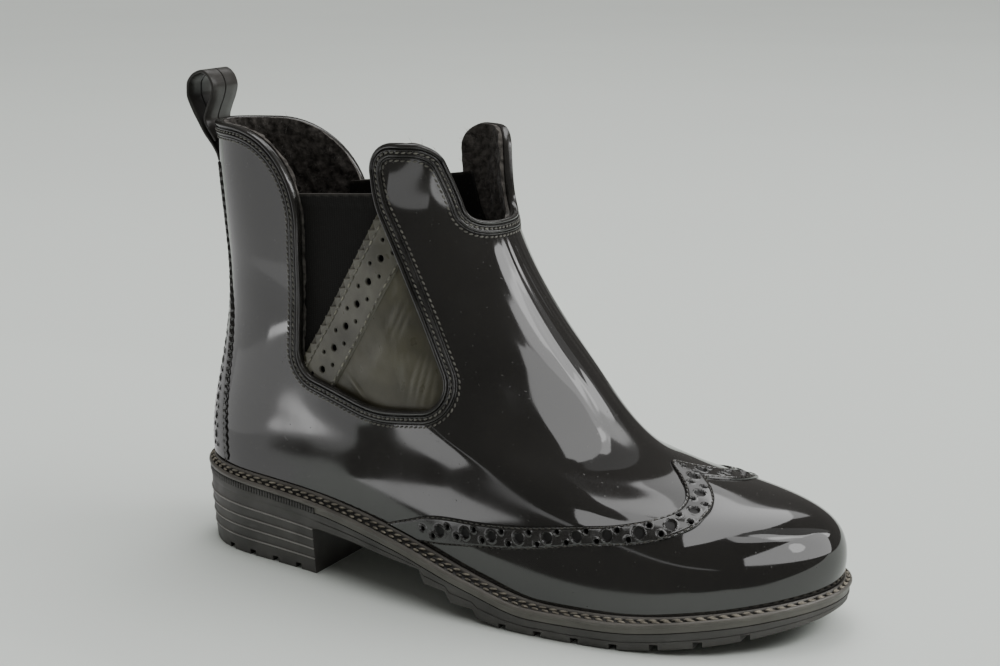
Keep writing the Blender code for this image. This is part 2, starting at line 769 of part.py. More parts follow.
def make_outsole(parts, cutters):
    top = -GAP - WELT_THICK - GAP

    def side_level(row):
        def height(u, x):
            return underside(u) * (1 - row.share) + (rim_height(x) + top) * row.share

        return Level(lambda u: ledge(u) - row.inset, height)

    # A raised bed fills the middle of the welt, up to the insole
    bed = constant(-WELT_UNDER - GAP)
    levels = [side_level(row) for row in SOLE_SIDE]
    levels += [Level(bed, over_seat(top)), Level(bed, over_seat(-GAP))]
    steps = [row.x for row in UNDERSIDE if HEEL_BREAST_X <= row.x <= LUGS_END_X]
    us = stations(math.pi, SOLE_STATIONS, steps)
    outsole = sole_loft("outsole", us, levels, parts, "sole_rubber")
    cut_grooves(outsole, FOREPART_GROOVES, cutters)


def make_heel(parts, cutters):
    """A block of rounded layers under the heel seat, cut straight at the breast."""
    rows = []
    for low, high in zip(HEEL_TOPS, HEEL_TOPS[1:]):
        rows += [Side(low + (high - low) * row.share, row.inset) for row in HEEL_LAYER]
    rows.append(Side(1.0, HEEL_LAYER[0].inset))

    def layer_level(row):
        def out(u):
            return ledge(u) - row.inset - HEEL_TAPER * (1 - row.share)

        return Level(out, lambda u, x: (underside(u) - GAP) * row.share)

    us = stations(station_at(HEEL_BREAST_X), HEEL_STATIONS)
    heel = sole_loft("heel", us, [layer_level(row) for row in rows], parts, "sole_rubber")
    cut_grooves(heel, HEEL_GROOVES, cutters)


def make_insole(parts):
    levels = [section_level(edge) for edge in INSOLE_SECTION]
    sole_loft("insole", stations(math.pi, SOLE_STATIONS), levels, parts, "footbed")


def make_pull_loop(parts, samples=29, across=4):
    """A ribbon up from the back of the shaft, round its loop and down again, bent to the round of the shaft."""
    share = np.linspace(0, 1, len(LOOP_LINE))
    t = np.linspace(0, 1, samples)
    x, z, wrap = (smooth(t, share, column(LOOP_LINE, name)) for name in Ribbon._fields)
    rows = []
    for y in np.linspace(-LOOP_WIDTH / 2, LOOP_WIDTH / 2, across):
        bend = LOOP_WRAP_RADIUS - math.sqrt(LOOP_WRAP_RADIUS**2 - y * y)
        rows.append(np.column_stack([x + wrap * bend, np.full_like(x, y), z]))
    mesh = mesh_from("pull_loop", np.concatenate(rows), grid_faces(across, samples))
    loop = add_object("pull_loop", mesh, parts, "loop_rubber")
    add_wall(loop, LOOP_THICK, 0)


def main():
    clear_scene()
    empty = bpy.data.objects.new("boot", None)
    empty.location = (-HEEL_TREAD_X * MM, 0, 0)
    parts = {"collection": new_collection("rubber_ankle_boot"), "empty": empty}
    cutters = {"collection": new_collection("cutters"), "empty": empty}
    parts["collection"].objects.link(empty)
    make_outsole(parts, cutters)
    make_heel(parts, cutters)
    make_welt(parts)
    make_insole(parts)
    opening = make_upper(parts, cutters)
    make_binding(parts, cutters, opening)
    make_gores(parts, cutters)
    make_wing_strip(parts, cutters)
    make_back_strips(parts, cutters)
    make_pull_loop(parts)


main()
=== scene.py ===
"""Looks of the rubber ankle boot for the right foot: an elastic-sided pull-on with wing-tip trim.

The tables are in millimetres, as in the part's source: x runs from the back of the heel to the toe, y to the
inner (big-toe) side and z up from the floor. metres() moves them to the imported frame, whose origin is the middle
of the heel tread. Every piece of the upper lies on one face, surface(u, v): u goes once round the foot, from the
back along the outer side to the toe and home along the inner side, and v climbs from the welt to the top.
"""

import math
from collections import namedtuple
from contextlib import contextmanager
from functools import cache

import bmesh
import bpy
import numpy as np
from bpy.props import FloatProperty, FloatVectorProperty, IntProperty, PointerProperty
from mathutils import Matrix, Vector


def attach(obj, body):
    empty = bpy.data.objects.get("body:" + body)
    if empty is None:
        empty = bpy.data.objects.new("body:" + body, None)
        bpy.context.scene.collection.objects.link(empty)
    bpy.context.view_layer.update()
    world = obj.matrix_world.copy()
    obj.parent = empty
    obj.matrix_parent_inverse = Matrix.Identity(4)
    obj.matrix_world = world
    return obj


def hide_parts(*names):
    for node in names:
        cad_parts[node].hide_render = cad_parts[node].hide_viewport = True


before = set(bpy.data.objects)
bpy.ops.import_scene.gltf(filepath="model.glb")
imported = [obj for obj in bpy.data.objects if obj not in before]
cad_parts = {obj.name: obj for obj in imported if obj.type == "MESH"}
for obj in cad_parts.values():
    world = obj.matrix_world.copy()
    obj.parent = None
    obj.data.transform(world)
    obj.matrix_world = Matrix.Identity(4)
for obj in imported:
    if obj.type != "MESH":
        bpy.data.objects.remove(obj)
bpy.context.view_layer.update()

bl_info = {
    "name": "Rubber ankle boot",
    "version": (1, 0, 0),
    "blender": (4, 5, 0),
    "location": "3D View > Sidebar > Boot",
    "description": "Makes the finished pieces of a rubber ankle boot around its packed solids",
    "category": "Object",
}

MM = 0.001
TURN = 2 * math.pi

# Sizes shared with the solids, in millimetres
HEEL_TREAD_X = 39.7
WALL = 2.2
GAP = 0.3
GORE_THICK = 1.2
GORE_TOP = 151.2
GORE_TOP_RISE = 0.105
GORE_UNDER = 6.0
PANEL_UNDER = 4.5
STRIP_SIDE_GAP = 0.4
GORE_STRIP_WIDTH = 19.0
LOOP_WIDTH = 17.0
LOOP_THICK = 1.3
LOOP_WRAP_RADIUS = 20.0
SHAFT_OUTER = 38.0
SHAFT_INNER = 36.0
LEDGE_ENDS = 3.2
LEDGE_SIDES = 6.5
WELT_UNDER = 9.0
WELT_THICK = 4.3
HEEL_BREAST_X = 69.0
HEEL_TAPER = 1.6
INSOLE_THICK = 2.8
GROOVE_WIDTH = 3.0
GROOVE_DEPTH = 2.4
REACH = 120.0
SLANT_OVERRUN = 40.0
FAR_BACK = -40.0
FAR_FRONT = 300.0
FAR_DOWN = -20.0

# How the upper's rings are rounded
NET_COLUMNS = 48
END_ROUND = 2.1
HEEL_ROUND = 2.2
FEATHER_FADE = 4
INNER_TOE_SHARPER = 0.25
SLIM_LENGTH = 100.0
SLIM_POWER = 1.3
OUTER_SLIM_LIMIT = 0.45
TANGENT_STEP = 0.004

# Round corners' steps and least radius, halvings that find a cut, and waves that make random hills
CORNER_STEPS = 16
LEAST_RADIUS = 0.5
HALVINGS = 12
HILL_WAVES = 24


def table(kind, *values):
    """A table with named fields, from one tuple for each row."""
    return [kind(*value) for value in values]


# Half-widths of the upper at the welt, before its ends are rounded
Plan = namedtuple("Plan", "x outer inner")
PLAN = table(
    Plan, (-2, 27.5, 27.5), (33, 29.0, 29.0), (70, 32.5, 28.5), (105, 36.5, 27.0), (145, 42.5, 32.0),
    (180, 45.0, 39.0), (205, 44.5, 41.5), (235, 41.0, 40.5), (272, 33.0, 36.0),
)

# Height of the feather line, where the upper meets the welt, of the welt's rim, and the foot's bend to the big toe
Height = namedtuple("Height", "x z")
FEATHER = table(
    Height, (-2, 37.0), (33, 35.0), (75, 32.4), (110, 27.2), (145, 17.6),
    (172, 11.2), (200, 11.4), (235, 14.8), (275, 19.8),
)
RIM = table(Height, (-2, 35.5), (33, 33.2), (75, 30.6), (110, 25.6), (145, 16.8)) + FEATHER[5:]
Bend = namedtuple("Bend", "x y")
MIDDLE = table(Bend, (0, 0), (60, 0), (110, -2.5), (180, 0), (270, 8))

# Rings from the welt to the top of the shaft: back and front point, share of shaft (the rest is foot), girth,
# length and sharpness of the round front end, length of the round back end, slimming of the back half
Ring = namedtuple("Ring", "back_x back_z front_x front_z shaft girth toe_cap toe_power heel_cap slim")
RINGS = table(
    Ring,
    (0.0, 35.5, 270.5, 18.5, 0.00, 1.000, 60, 2.30, 34, 0.00),
    (-0.8, 43.0, 272.2, 27.5, 0.00, 0.992, 61, 2.30, 35, 0.00),
    (-0.5, 51.0, 270.0, 37.5, 0.02, 0.978, 62, 2.20, 36, 0.01),
    (0.6, 59.0, 262.5, 44.0, 0.05, 0.962, 66, 2.10, 36, 0.03),
    (2.2, 67.0, 250.0, 47.4, 0.10, 0.952, 72, 2.00, 36, 0.07),
    (4.2, 75.5, 235.5, 49.6, 0.18, 0.952, 78, 1.85, 35, 0.12),
    (6.3, 84.0, 221.0, 53.5, 0.28, 0.962, 84, 1.75, 34, 0.18),
    (8.0, 93.0, 206.5, 57.5, 0.40, 0.975, 88, 1.65, 33, 0.25),
    (9.3, 102.0, 194.0, 65.5, 0.54, 0.990, 88, 1.60, 32, 0.32),
    (9.0, 110.5, 183.0, 77.0, 0.68, 1.000, 84, 1.60, 31, 0.39),
    (8.5, 119.5, 172.2, 90.5, 0.80, 1.000, 76, 1.70, 30, 0.45),
    (8.0, 129.0, 160.8, 103.0, 0.90, 1.000, 66, 1.75, 29, 0.49),
    (7.4, 139.0, 150.0, 117.0, 0.96, 1.000, 56, 1.85, 28, 0.54),
    (6.6, 149.0, 141.0, 131.5, 1.00, 1.000, 50, 1.95, 27, 0.60),
    (5.8, 159.0, 134.5, 147.0, 1.00, 1.000, 42, 2.00, 26, 0.66),
    (5.2, 170.0, 131.0, 164.0, 1.00, 1.000, 26, 2.00, 26, 0.70),
    (4.6, 184.0, 130.0, 184.0, 1.00, 1.000, 20, 2.00, 26, 0.70),
)
TOP_RING = len(RINGS) - 1

# The top edge from the side: corners from the back of the collar to the throat, each rounded
Corner = namedtuple("Corner", "x z radius")
GORE_CORNERS = table(Corner, (57.0, 80.5, 11), (97.0, 71.3, 50), (134.2, 76.8, 10.5))
TOP_LINE = table(
    Corner, (FAR_BACK, 174.8, 0), (59.0, 174.8, 36), *GORE_CORNERS, (99.6, 152.6, 40), (97.0, 174.6, 10),
    (122.0, 174.6, 9), (130.2, 143.6, 9), (FAR_FRONT, 143.6, 0),
)
GORE_BACK_X = 58.5
GORE_FRONT_X = 98.3
PINKED_TOP = (98.4, 147.6)
PINKED_FOOT = (59.6, 88.8)

# Trim bands on the outer side, in (u, v): points of the upper or front edge, and of the other edge across
Border = namedtuple("Border", "u v other_u other_v")
WING_BAND = table(
    Border, (1.345, 0.12, 1.475, 0.12), (1.405, 0.64, 1.540, 0.45), (1.510, 1.42, 1.620, 0.88),
    (1.690, 2.05, 1.740, 1.36), (1.967, 2.90, 2.000, 2.17), (2.210, 3.52, 2.235, 2.65), (2.424, 4.21, 2.420, 3.30),
    (2.637, 5.10, 2.600, 4.20), (2.796, 5.81, 2.800, 5.02), (2.980, 6.59, 3.000, 5.72),
    (math.pi, 7.10, math.pi, 6.10),
)
BACK_BAND = table(
    Border, (0.415, 13.95, 0.050, 13.95), (0.400, 13.0, 0.050, 13.0), (0.330, 11.0, 0.040, 11.0),
    (0.320, 9.3, 0.050, 9.3), (0.420, 7.6, 0.120, 7.6), (0.470, 6.0, 0.190, 6.0), (0.490, 4.5, 0.220, 4.5),
    (0.510, 3.0, 0.245, 3.0), (0.535, 1.5, 0.265, 1.5), (0.545, 0.2, 0.275, 0.2),
)

# Underside of the outsole from heel seat to toe, with the stepped lugs at the back of the forepart
LUGS_END_X = 160.4
UNDERSIDE = table(
    Height, (-6, 22.8), (69, 19.4), (90, 18.4), (110, 16.4), (124.0, 15.5), (126.2, 10.2), (136.0, 9.3), (138.2, 5.4),
    (148.0, 4.9), (150.2, 1.8), (LUGS_END_X, 0.0), (206, 0.0), (231, 3.0), (250, 6.2), (266, 9.8), (279, 14.5),
)

# Section of the welt: share of the ledge outwards, millimetres added to it, height over the feather line
Edge = namedtuple("Edge", "ledge out z")
WELT_SECTION = table(
    Edge, (0.00, -WELT_UNDER, -GAP), (0.00, -0.4, -GAP), (0.00, 0.4, 0.20), (0.06, 0.5, 0.30), (0.14, 0.5, 0.10),
    (0.18, 0.5, -0.75), (0.40, 0.2, -0.95), (0.44, 0.1, -0.55), (0.48, 0.1, -0.55), (0.52, 0.0, -0.95),
    (0.80, -0.3, -1.25), (0.84, -0.4, -0.75), (0.90, -0.4, -0.55), (0.97, -0.4, -0.65), (1.00, -0.10, -0.95),
    (1.00, 0.05, -1.40), (1.00, 0.05, -1.80), (1.00, -0.12, -2.20), (1.00, -0.55, -2.40), (1.00, -0.75, -2.60),
    (1.00, -0.75, -4.30), (1.00, -0.90, -GAP - WELT_THICK), (0.00, -WELT_UNDER, -GAP - WELT_THICK),
)
# The bed of the rope stitches as shares of the ledge, their two rows and the size and slant of each stitch. The bed
# is darkened as painted shade under the stitches.
ROPE_BED = (0.15, 0.82)
ROPE_ROWS = table(Edge, (0.29, 0.35, -0.50), (0.66, -0.15, -0.70))
ROPE_STITCH = (3.3, 1.15, 0.95)
ROPE_SLANT = 0.22

INSOLE_EDGE = -WALL - 2 * GAP
INSOLE_SECTION = table(
    Edge, (0, INSOLE_EDGE, 0.0), (0, INSOLE_EDGE, 1.8), (0, INSOLE_EDGE - 0.4, 2.5),
    (0, INSOLE_EDGE - 1.2, INSOLE_THICK),
)

# Side of the outsole, from the tread up: share of its height, and how far it lies inside the welt's rim
Side = namedtuple("Side", "share inset")
SOLE_SIDE = table(
    Side, (0.00, 2.20), (0.05, 1.60), (0.14, 1.25), (0.30, 1.15), (0.50, 1.10), (0.54, 1.35), (0.57, 1.35),
    (0.60, 0.95), (0.74, 0.75), (0.90, 0.72), (1.00, 0.78),
)
# Tops of the heel's layers as shares of its height, the side of each layer, and the raised line on each top
HEEL_TOPS = (0.0, 0.33, 0.555, 0.775, 1.0)
HEEL_LAYER = table(Side, (0.00, 1.15), (0.06, 1.04), (0.20, 0.97), (0.50, 0.93), (0.80, 0.97), (0.93, 1.04))
HEEL_LINE_INSET = 0.88
HEEL_LINE_LIFT = 0.004
HEEL_LINE_RADIUS = 0.32
# The outsole's lower edge is set back less over the heel
HEEL_SEAT_INSET = 1.05
# Band of ribs on the heel seat: from and to under the welt's rim, face and back inside it, colour, and a rib's size.
# The band's near-black colour is painted shade between the ribs.
RIB_BAND = (-5.1, -2.45)
RIB_BAND_FACE = 0.66
RIB_BAND_BACK = 1.6
RIB_BAND_SHADE_COLOUR = (0.006, 0.006, 0.006)
RIB_WIDTH = 0.88
RIB_HEIGHT = 0.6
HEEL_GROOVES = [21.6 + 12.5 * step for step in range(4)]
FOREPART_GROOVES = [160.9 + 14.5 * step for step in range(7)]

# Pull loop from the side: its ribbon's middle line, and how far it wraps round the back of the shaft
Ribbon = namedtuple("Ribbon", "x z wrap")
LOOP_LINE = table(
    Ribbon, (3.9, 166.5, 0.6), (3.3, 167.8, 0.5), (2.4, 169.2, 0.4), (1.0, 171.6, 0.25), (-0.1, 175.0, 0.05),
    (1.4, 179.5, 0.0), (3.4, 184.0, 0.0), (4.4, 188.0, 0.0), (3.0, 192.0, 0.0), (-0.6, 194.4, 0.0),
    (-5.2, 192.8, 0.0), (-8.1, 188.8, 0.0), (-8.3, 184.8, 0.0), (-5.7, 178.4, 0.0), (-2.8, 173.4, 0.05),
    (-0.9, 169.6, 0.3), (2.6, 164.4, 0.7), (4.2, 161.2, 0.9), (4.9, 158.5, 1.0),
)
# Section of the ribbon: place across as a share of half its width, and height as a share of half its thickness
Profile = namedtuple("Profile", "across out")
RIBBON_SECTION = table(
    Profile, (-1.00, 0.0), (-0.985, 0.7), (-0.94, 1.0), (-0.5, 1.0), (-0.05, 1.0), (-0.02, 0.25), (0.02, 0.25),
    (0.05, 1.0), (0.5, 1.0), (0.94, 1.0), (0.985, 0.7), (1.00, 0.0),
)

# Section of the collar's edge binding: millimetres in from the edge, and out from the upper's face
BINDING = table(
    Profile, (1.2, -2.45), (0.2, -2.60), (-0.5, -2.20), (-0.85, -1.30), (-0.90, -0.30), (-0.75, 0.45), (-0.25, 0.95),
    (0.30, 1.00), (0.75, 0.75), (0.95, 0.20), (1.10, 0.20), (1.25, 0.80), (1.60, 0.95), (1.85, 0.75), (1.95, 0.35),
    (2.85, 0.35), (2.95, 0.75), (3.40, 0.90), (3.90, 0.80), (4.10, 0.25), (4.20, 0.25), (4.35, 0.65), (4.60, 0.65),
    (4.80, 0.20), (4.85, -0.40),
)
BINDING_STITCHES = table(Profile, (2.40, 0.62), (5.55, 0.08))

# Flutes of the instep: levels with their pitch there, reach in pitches, levels over which they fade in, and the
# angle to each side over which the grid is fine
FLUTE_LEVELS = (7.0, 9.5, 14.0)
FLUTE_PITCHES = (6.0, 4.4, 2.9)
FLUTE_REACH = 3.1
FLUTE_FADE = (7.2, 10.5)
INSTEP_HALF = 0.62
FACE_WAVE_SIZE = 42.0

# The fleece: its edge under the top line, its back from the upper's face, and the levels over which the nap starts
FLEECE_EDGE = -0.4
FLEECE_BACK = WALL + 0.45
NAP_FADE = (9.0, 12.0)
NAP_THICKNESS = 0.00007
NAP_LEAN = 0.95

# Fineness of the grids of upper and lining, and the lining's lowest level
INSTEP_COLUMNS = 151
OTHER_COLUMNS = 172
UPPER_ROWS = 150
LINING_COLUMNS = 260
LINING_ROWS = 104
LINING_FOOT = 0.4

# The walk along the top edge: its grid, spacing of points, lines down the face, and steps onto the edge
EDGE_COLUMNS = 240
EDGE_ROWS = 110
EDGE_FOOT = 4
EDGE_SPACING = 0.75
EDGE_DEPTH = 8.0
EDGE_STEP = 0.5
EDGE_SLOPE_STEP = 0.002
EDGE_LEAP = 4
COLLAR_STITCH_SHARE = 0.84
COLLAR_STITCH = (0.80, 0.70)
COLLAR_STITCH_SLANT = 0.25

# Grids over a gore opening in (u, v), and the elastic's hem under its top edge
PATCH_ANGLES = (0.66, 2.46)
PATCH_LEVELS = (4.0, 15.2)
PATCH_ROWS = 150
WEB_COLUMNS = 120
PANEL_COLUMNS = 170
BEHIND_WALL = -WALL - GAP
PANEL_THICK = 1.0
HEM_RISE = 0.45
HEM_FOOT = (-4.6, -4.2)
HEM_EDGE = (-0.9, -0.5)

# Newton steps from a place seen from the side to its (u, v)
SIDE_START = (1.5, 9.0)
SIDE_REACH = (0.3, 2.8)
NEWTON_STEPS = 40
NEWTON_LEAP = (0.3, 1.0)

# Perforations: softness of their edge, and the raised rim round them
PIT_SOFT = 0.22
PIT_RIM = 0.35
PIT_RIM_WIDTH = 0.28
PIT_DEPTH = 0.65

# Pinked strip: its overrun past both ends, fineness, heights over its bottom, grooves and stitches
STRIP_OVERRUN = (6.0, 8.0)
STRIP_STEP = 0.28
STRIP_TRIES = 140
STRIP_COLUMNS = 62
STRIP_THICK = 0.55
STRIP_EDGE = 0.25
STRIP_RIM = 0.10
STRIP_BURIED = 0.2
STITCH_GROOVE = 0.35
STRIP_STITCH_RISE = 0.72
PANEL_STITCH = (2.7, 0.8, 0.7)
PANEL_STITCH_PITCH = 3.6

# Trim bands: heights over the upper's face, stitches, and the perforations of wing and back strips
BAND_SPACING = 0.3
BAND_EDGE = 0.20
BAND_THICK = 0.50
BAND_RIM = 0.25
BAND_DARK_DEPTH = 0.30
BAND_BURIED = -0.3
BAND_STITCH_RISE = 0.48
TRIM_STITCH = (1.7, 0.6, 0.55)
HOLE_PITCH = 11.6
WING_RING_END = 6
WING_PAIR_END = 10
WING_PAIR = 2.6
BACK_HOLE_PITCH = 7.8
BACK_PAIR = 1.6

# Spacing and numbers of stations round the sole and along the loop
WELT_SPACING = 1.1
STATION_GAP = 0.006
SOLE_STATIONS = 150
HEEL_STATIONS = 70
RIB_STATIONS = 400
FOOTBED_STATIONS = 120
LOOP_STATIONS = 150


def column(rows, name):
    """One named column of a table as an array."""
    return np.array([getattr(row, name) for row in rows], float)


def smooth(x, xs, ys):
    """Monotone cubic through the points (xs, ys), held level past both ends."""
    step = np.diff(xs)
    slope = np.diff(ys) / step
    tangent = np.concatenate([slope[:1], np.zeros(len(xs) - 2), slope[-1:]])
    for i in range(1, len(xs) - 1):
        before, after = slope[i - 1], slope[i]
        if before * after > 0:
            heavy, light = 2 * step[i] + step[i - 1], step[i] + 2 * step[i - 1]
            tangent[i] = (heavy + light) / (heavy / before + light / after)
    x = np.clip(x, xs[0], xs[-1])
    i = np.clip(np.searchsorted(xs, x, "right") - 1, 0, len(xs) - 2)
    t = (x - xs[i]) / step[i]
    start = (1 + 2 * t) * (1 - t) ** 2 * ys[i] + t * (1 - t) ** 2 * step[i] * tangent[i]
    end = t * t * (3 - 2 * t) * ys[i + 1] + t * t * (t - 1) * step[i] * tangent[i + 1]
    return start + end


def ease(low, high, x):
    """Rises softly from 0 at low to 1 at high."""
    t = np.clip((x - low) / (high - low), 0, 1)
    return t * t * (3 - 2 * t)


def height_on(rows, x):
    """Smooth height of a table's line at this x."""
    return smooth(x, column(rows, "x"), column(rows, "z"))


def round_end(distance, length, power):
    """Share of the full width at this distance from a rounded end."""
    inside = np.abs(1 - np.minimum(distance / length, 1)) ** power
    return np.clip(1 - inside, 0, 1) ** (1 / END_ROUND)


def ring_points(ring, rank):
    """Control points of one ring. The lowest rings also follow the curve of the feather line."""
    u = np.arange(NET_COLUMNS) * TURN / NET_COLUMNS
    outer = u < math.pi
    t = (1 - np.cos(u)) / 2
    x = ring.back_x + (ring.front_x - ring.back_x) * t
    z = ring.back_z + (ring.front_z - ring.back_z) * t
    first = RINGS[0]
    along = np.clip((x - first.back_x) / (first.front_x - first.back_x), 0, 1)
    sag = height_on(FEATHER, x) - (first.back_z + (first.front_z - first.back_z) * along)
    z = z + sag * (1 - rank / TOP_RING) ** FEATHER_FADE
    length = math.hypot(ring.front_x - ring.back_x, ring.front_z - ring.back_z)
    from_back, from_front = t * length, (1 - t) * length
    toe_power = np.where(outer, ring.toe_power, ring.toe_power - INNER_TOE_SHARPER)
    ends = round_end(from_front, ring.toe_cap, toe_power) * round_end(from_back, ring.heel_cap, HEEL_ROUND)
    slim = np.where(outer, np.minimum(ring.slim, OUTER_SLIM_LIMIT), ring.slim)
    ends = ends * (1 - slim * (1 - np.clip(from_back / SLIM_LENGTH, 0, 1) ** SLIM_POWER))
    xs = column(PLAN, "x")
    foot = np.where(outer, smooth(x, xs, column(PLAN, "outer")), smooth(x, xs, column(PLAN, "inner")))
    shaft = np.where(outer, SHAFT_OUTER, SHAFT_INNER)
    half = (foot * (1 - ring.shaft) + shaft * ring.shaft) * ring.girth * ends
    middle = smooth(x, column(MIDDLE, "x"), column(MIDDLE, "y")) * (1 - ring.shaft)
    return np.stack([x, middle + np.where(outer, -half, half), z], axis=1)


def control_net():
    """All rings, with one more row past each end so that the surface reaches its first and last ring."""
    rows = [ring_points(ring, rank) for rank, ring in enumerate(RINGS)]
    return np.array([2 * rows[0] - rows[1], *rows, 2 * rows[-1] - rows[-2]])


NET = control_net()


def spline_weights(t):
    return np.stack([(1 - t) ** 3, 3 * t**3 - 6 * t**2 + 4, -3 * t**3 + 3 * t**2 + 3 * t + 1, t**3]) / 6


def surface(u, v):
    """Points of the upper's outer face, in millimetres: a cubic B-spline both ways over the control net."""
    u, v = np.broadcast_arrays(np.asarray(u, float), np.asarray(v, float))
    across = (u / TURN * NET_COLUMNS) % NET_COLUMNS
    up = np.clip(v, 0, TOP_RING)
    i = np.floor(across).astype(int)
    j = np.minimum(np.floor(up).astype(int), TOP_RING - 1)
    wide, high = spline_weights(across - i), spline_weights(up - j)
    point = np.zeros(u.shape + (3,))
    for a in range(4):
        for b in range(4):
            point += (wide[a] * high[b])[..., None] * NET[j + b, (i + a - 1) % NET_COLUMNS]
    return point


def unit(vectors):
    return vectors / np.maximum(np.linalg.norm(vectors, axis=-1, keepdims=True), 1e-12)


def dot(a, b):
    return np.sum(a * b, axis=-1)


def tangents(u, v):
    """Change of the upper's face for a unit of u and of v."""
    step = TANGENT_STEP
    low, high = np.clip(v - step, 0, TOP_RING), np.clip(v + step, 0, TOP_RING)
    along_u = (surface(u + step, v) - surface(u - step, v)) / (2 * step)
    along_v = (surface(u, high) - surface(u, low)) / np.maximum(high - low, step)[..., None]
    return along_u, along_v


def normal(u, v):
    """Outward unit normal of the upper's outer face."""
    return unit(np.cross(*tangents(u, v)))


def offset_surface(u, v, offset):
    return surface(u, v) + normal(u, v) * np.asarray(offset)[..., None]


def steps_on_face(along_u, along_v, p, q):
    """The changes of u and v whose move along the face has these products with its two tangents."""
    a, b, c = dot(along_u, along_u), dot(along_u, along_v), dot(along_v, along_v)
    det = a * c - b * b
    return (c * p - b * q) / det, (a * q - b * p) / det


def move_on_face(u, v, move):
    """The (u, v) reached from here by a small step along the face, given in millimetres."""
    along_u, along_v = tangents(u, v)
    step_u, step_v = steps_on_face(along_u, along_v, dot(along_u, move), dot(along_v, move))
    return u + step_u, v + step_v


def run_length(points):
    """Length of a line of points up to each of them."""
    return np.concatenate([[0], np.cumsum(np.linalg.norm(np.diff(points, axis=0), axis=1))])


def rounded_line(corners, shift):
    """The corners as a line with round corners, moved shift millimetres to its right-hand side."""
    points = np.array([(corner.x, corner.z) for corner in corners], float)
    ahead = unit(np.diff(points, axis=0))
    right = np.column_stack([ahead[:, 1], -ahead[:, 0]])
    line = [points[0] + right[0] * shift]
    for k in range(1, len(points) - 1):
        before, after = ahead[k - 1], ahead[k]
        turn = math.atan2(before[0] * after[1] - before[1] * after[0], before @ after)
        # The moved corner lies where the two moved edges cross
        corner = points[k] + (right[k - 1] + right[k]) * shift / (1 + right[k - 1] @ right[k])
        radius = max(corners[k].radius + math.copysign(shift, turn), LEAST_RADIUS)
        start = corner - before * radius * math.tan(abs(turn) / 2)
        inwards = right[k - 1] * -math.copysign(1, turn)
        middle = start + inwards * radius
        spoke = -inwards * radius
        for step in range(CORNER_STEPS + 1):
            angle = turn * step / CORNER_STEPS
            line.append(middle + np.array([
                spoke[0] * math.cos(angle) - spoke[1] * math.sin(angle),
                spoke[0] * math.sin(angle) + spoke[1] * math.cos(angle),
            ]))
    line.append(points[-1] + right[-1] * shift)
    return np.array(line)


def side_distance(points, outline):
    """Distance of points from a closed outline, both seen from the side as (x, z), negative inside it."""
    nearest = np.full(len(points), np.inf)
    inside = np.zeros(len(points), bool)
    x, z = points[:, 0], points[:, 1]
    for a, b in zip(outline, np.roll(outline, -1, axis=0)):
        edge = b - a
        length = edge @ edge
        if length < 1e-12:
            continue
        share = np.clip(((x - a[0]) * edge[0] + (z - a[1]) * edge[1]) / length, 0, 1)
        nearest = np.minimum(nearest, (x - a[0] - share * edge[0]) ** 2 + (z - a[1] - share * edge[1]) ** 2)
        crosses = (a[1] > z) != (b[1] > z)
        if edge[1]:
            inside ^= crosses & (x < a[0] + (z - a[1]) / edge[1] * edge[0])
    return np.where(inside, -1, 1) * np.sqrt(nearest)


def from_side(u, v):
    return surface(u, v)[..., [0, 2]]


def under_top_line(shift):
    """A function of (u, v) that is negative where the upper's face lies under its top edge, moved by shift."""
    line = rounded_line(TOP_LINE, shift)
    outline = np.concatenate([line, [(FAR_FRONT, FAR_DOWN), (FAR_BACK, FAR_DOWN)]])
    return lambda u, v: side_distance(from_side(u, v), outline)


def slanted_band(width):
    """A four-sided outline from the pinked edge of the gore panel, width millimetres towards the toe."""
    top, foot = np.array(PINKED_TOP), np.array(PINKED_FOOT)
    ahead = unit(foot - top)
    across = np.array([-ahead[1], ahead[0]])
    top, foot = top - ahead * SLANT_OVERRUN, foot + ahead * SLANT_OVERRUN
    return np.array([top, foot, foot + across * width, top + across * width])


def gore_top(x):
    """Height of the gore's top edge at this x."""
    return GORE_TOP + GORE_TOP_RISE * (x - GORE_BACK_X)


def gore_outline(shift):
    """The gore opening from the side, grown by shift millimetres, with a straight top."""
    back, front = (Corner(x, gore_top(x), 0) for x in (GORE_BACK_X, GORE_FRONT_X))
    line = rounded_line([back, *GORE_CORNERS, front], shift)
    line[:, 1] = np.minimum(line[:, 1], gore_top(line[:, 0]))
    return line


def inside_all(outlines):
    """A function of (u, v) that is negative where the face lies inside all these side outlines."""
    def keep(u, v):
        points = from_side(u, v)
        return np.max([side_distance(points, outline) for outline in outlines], axis=0)

    return keep


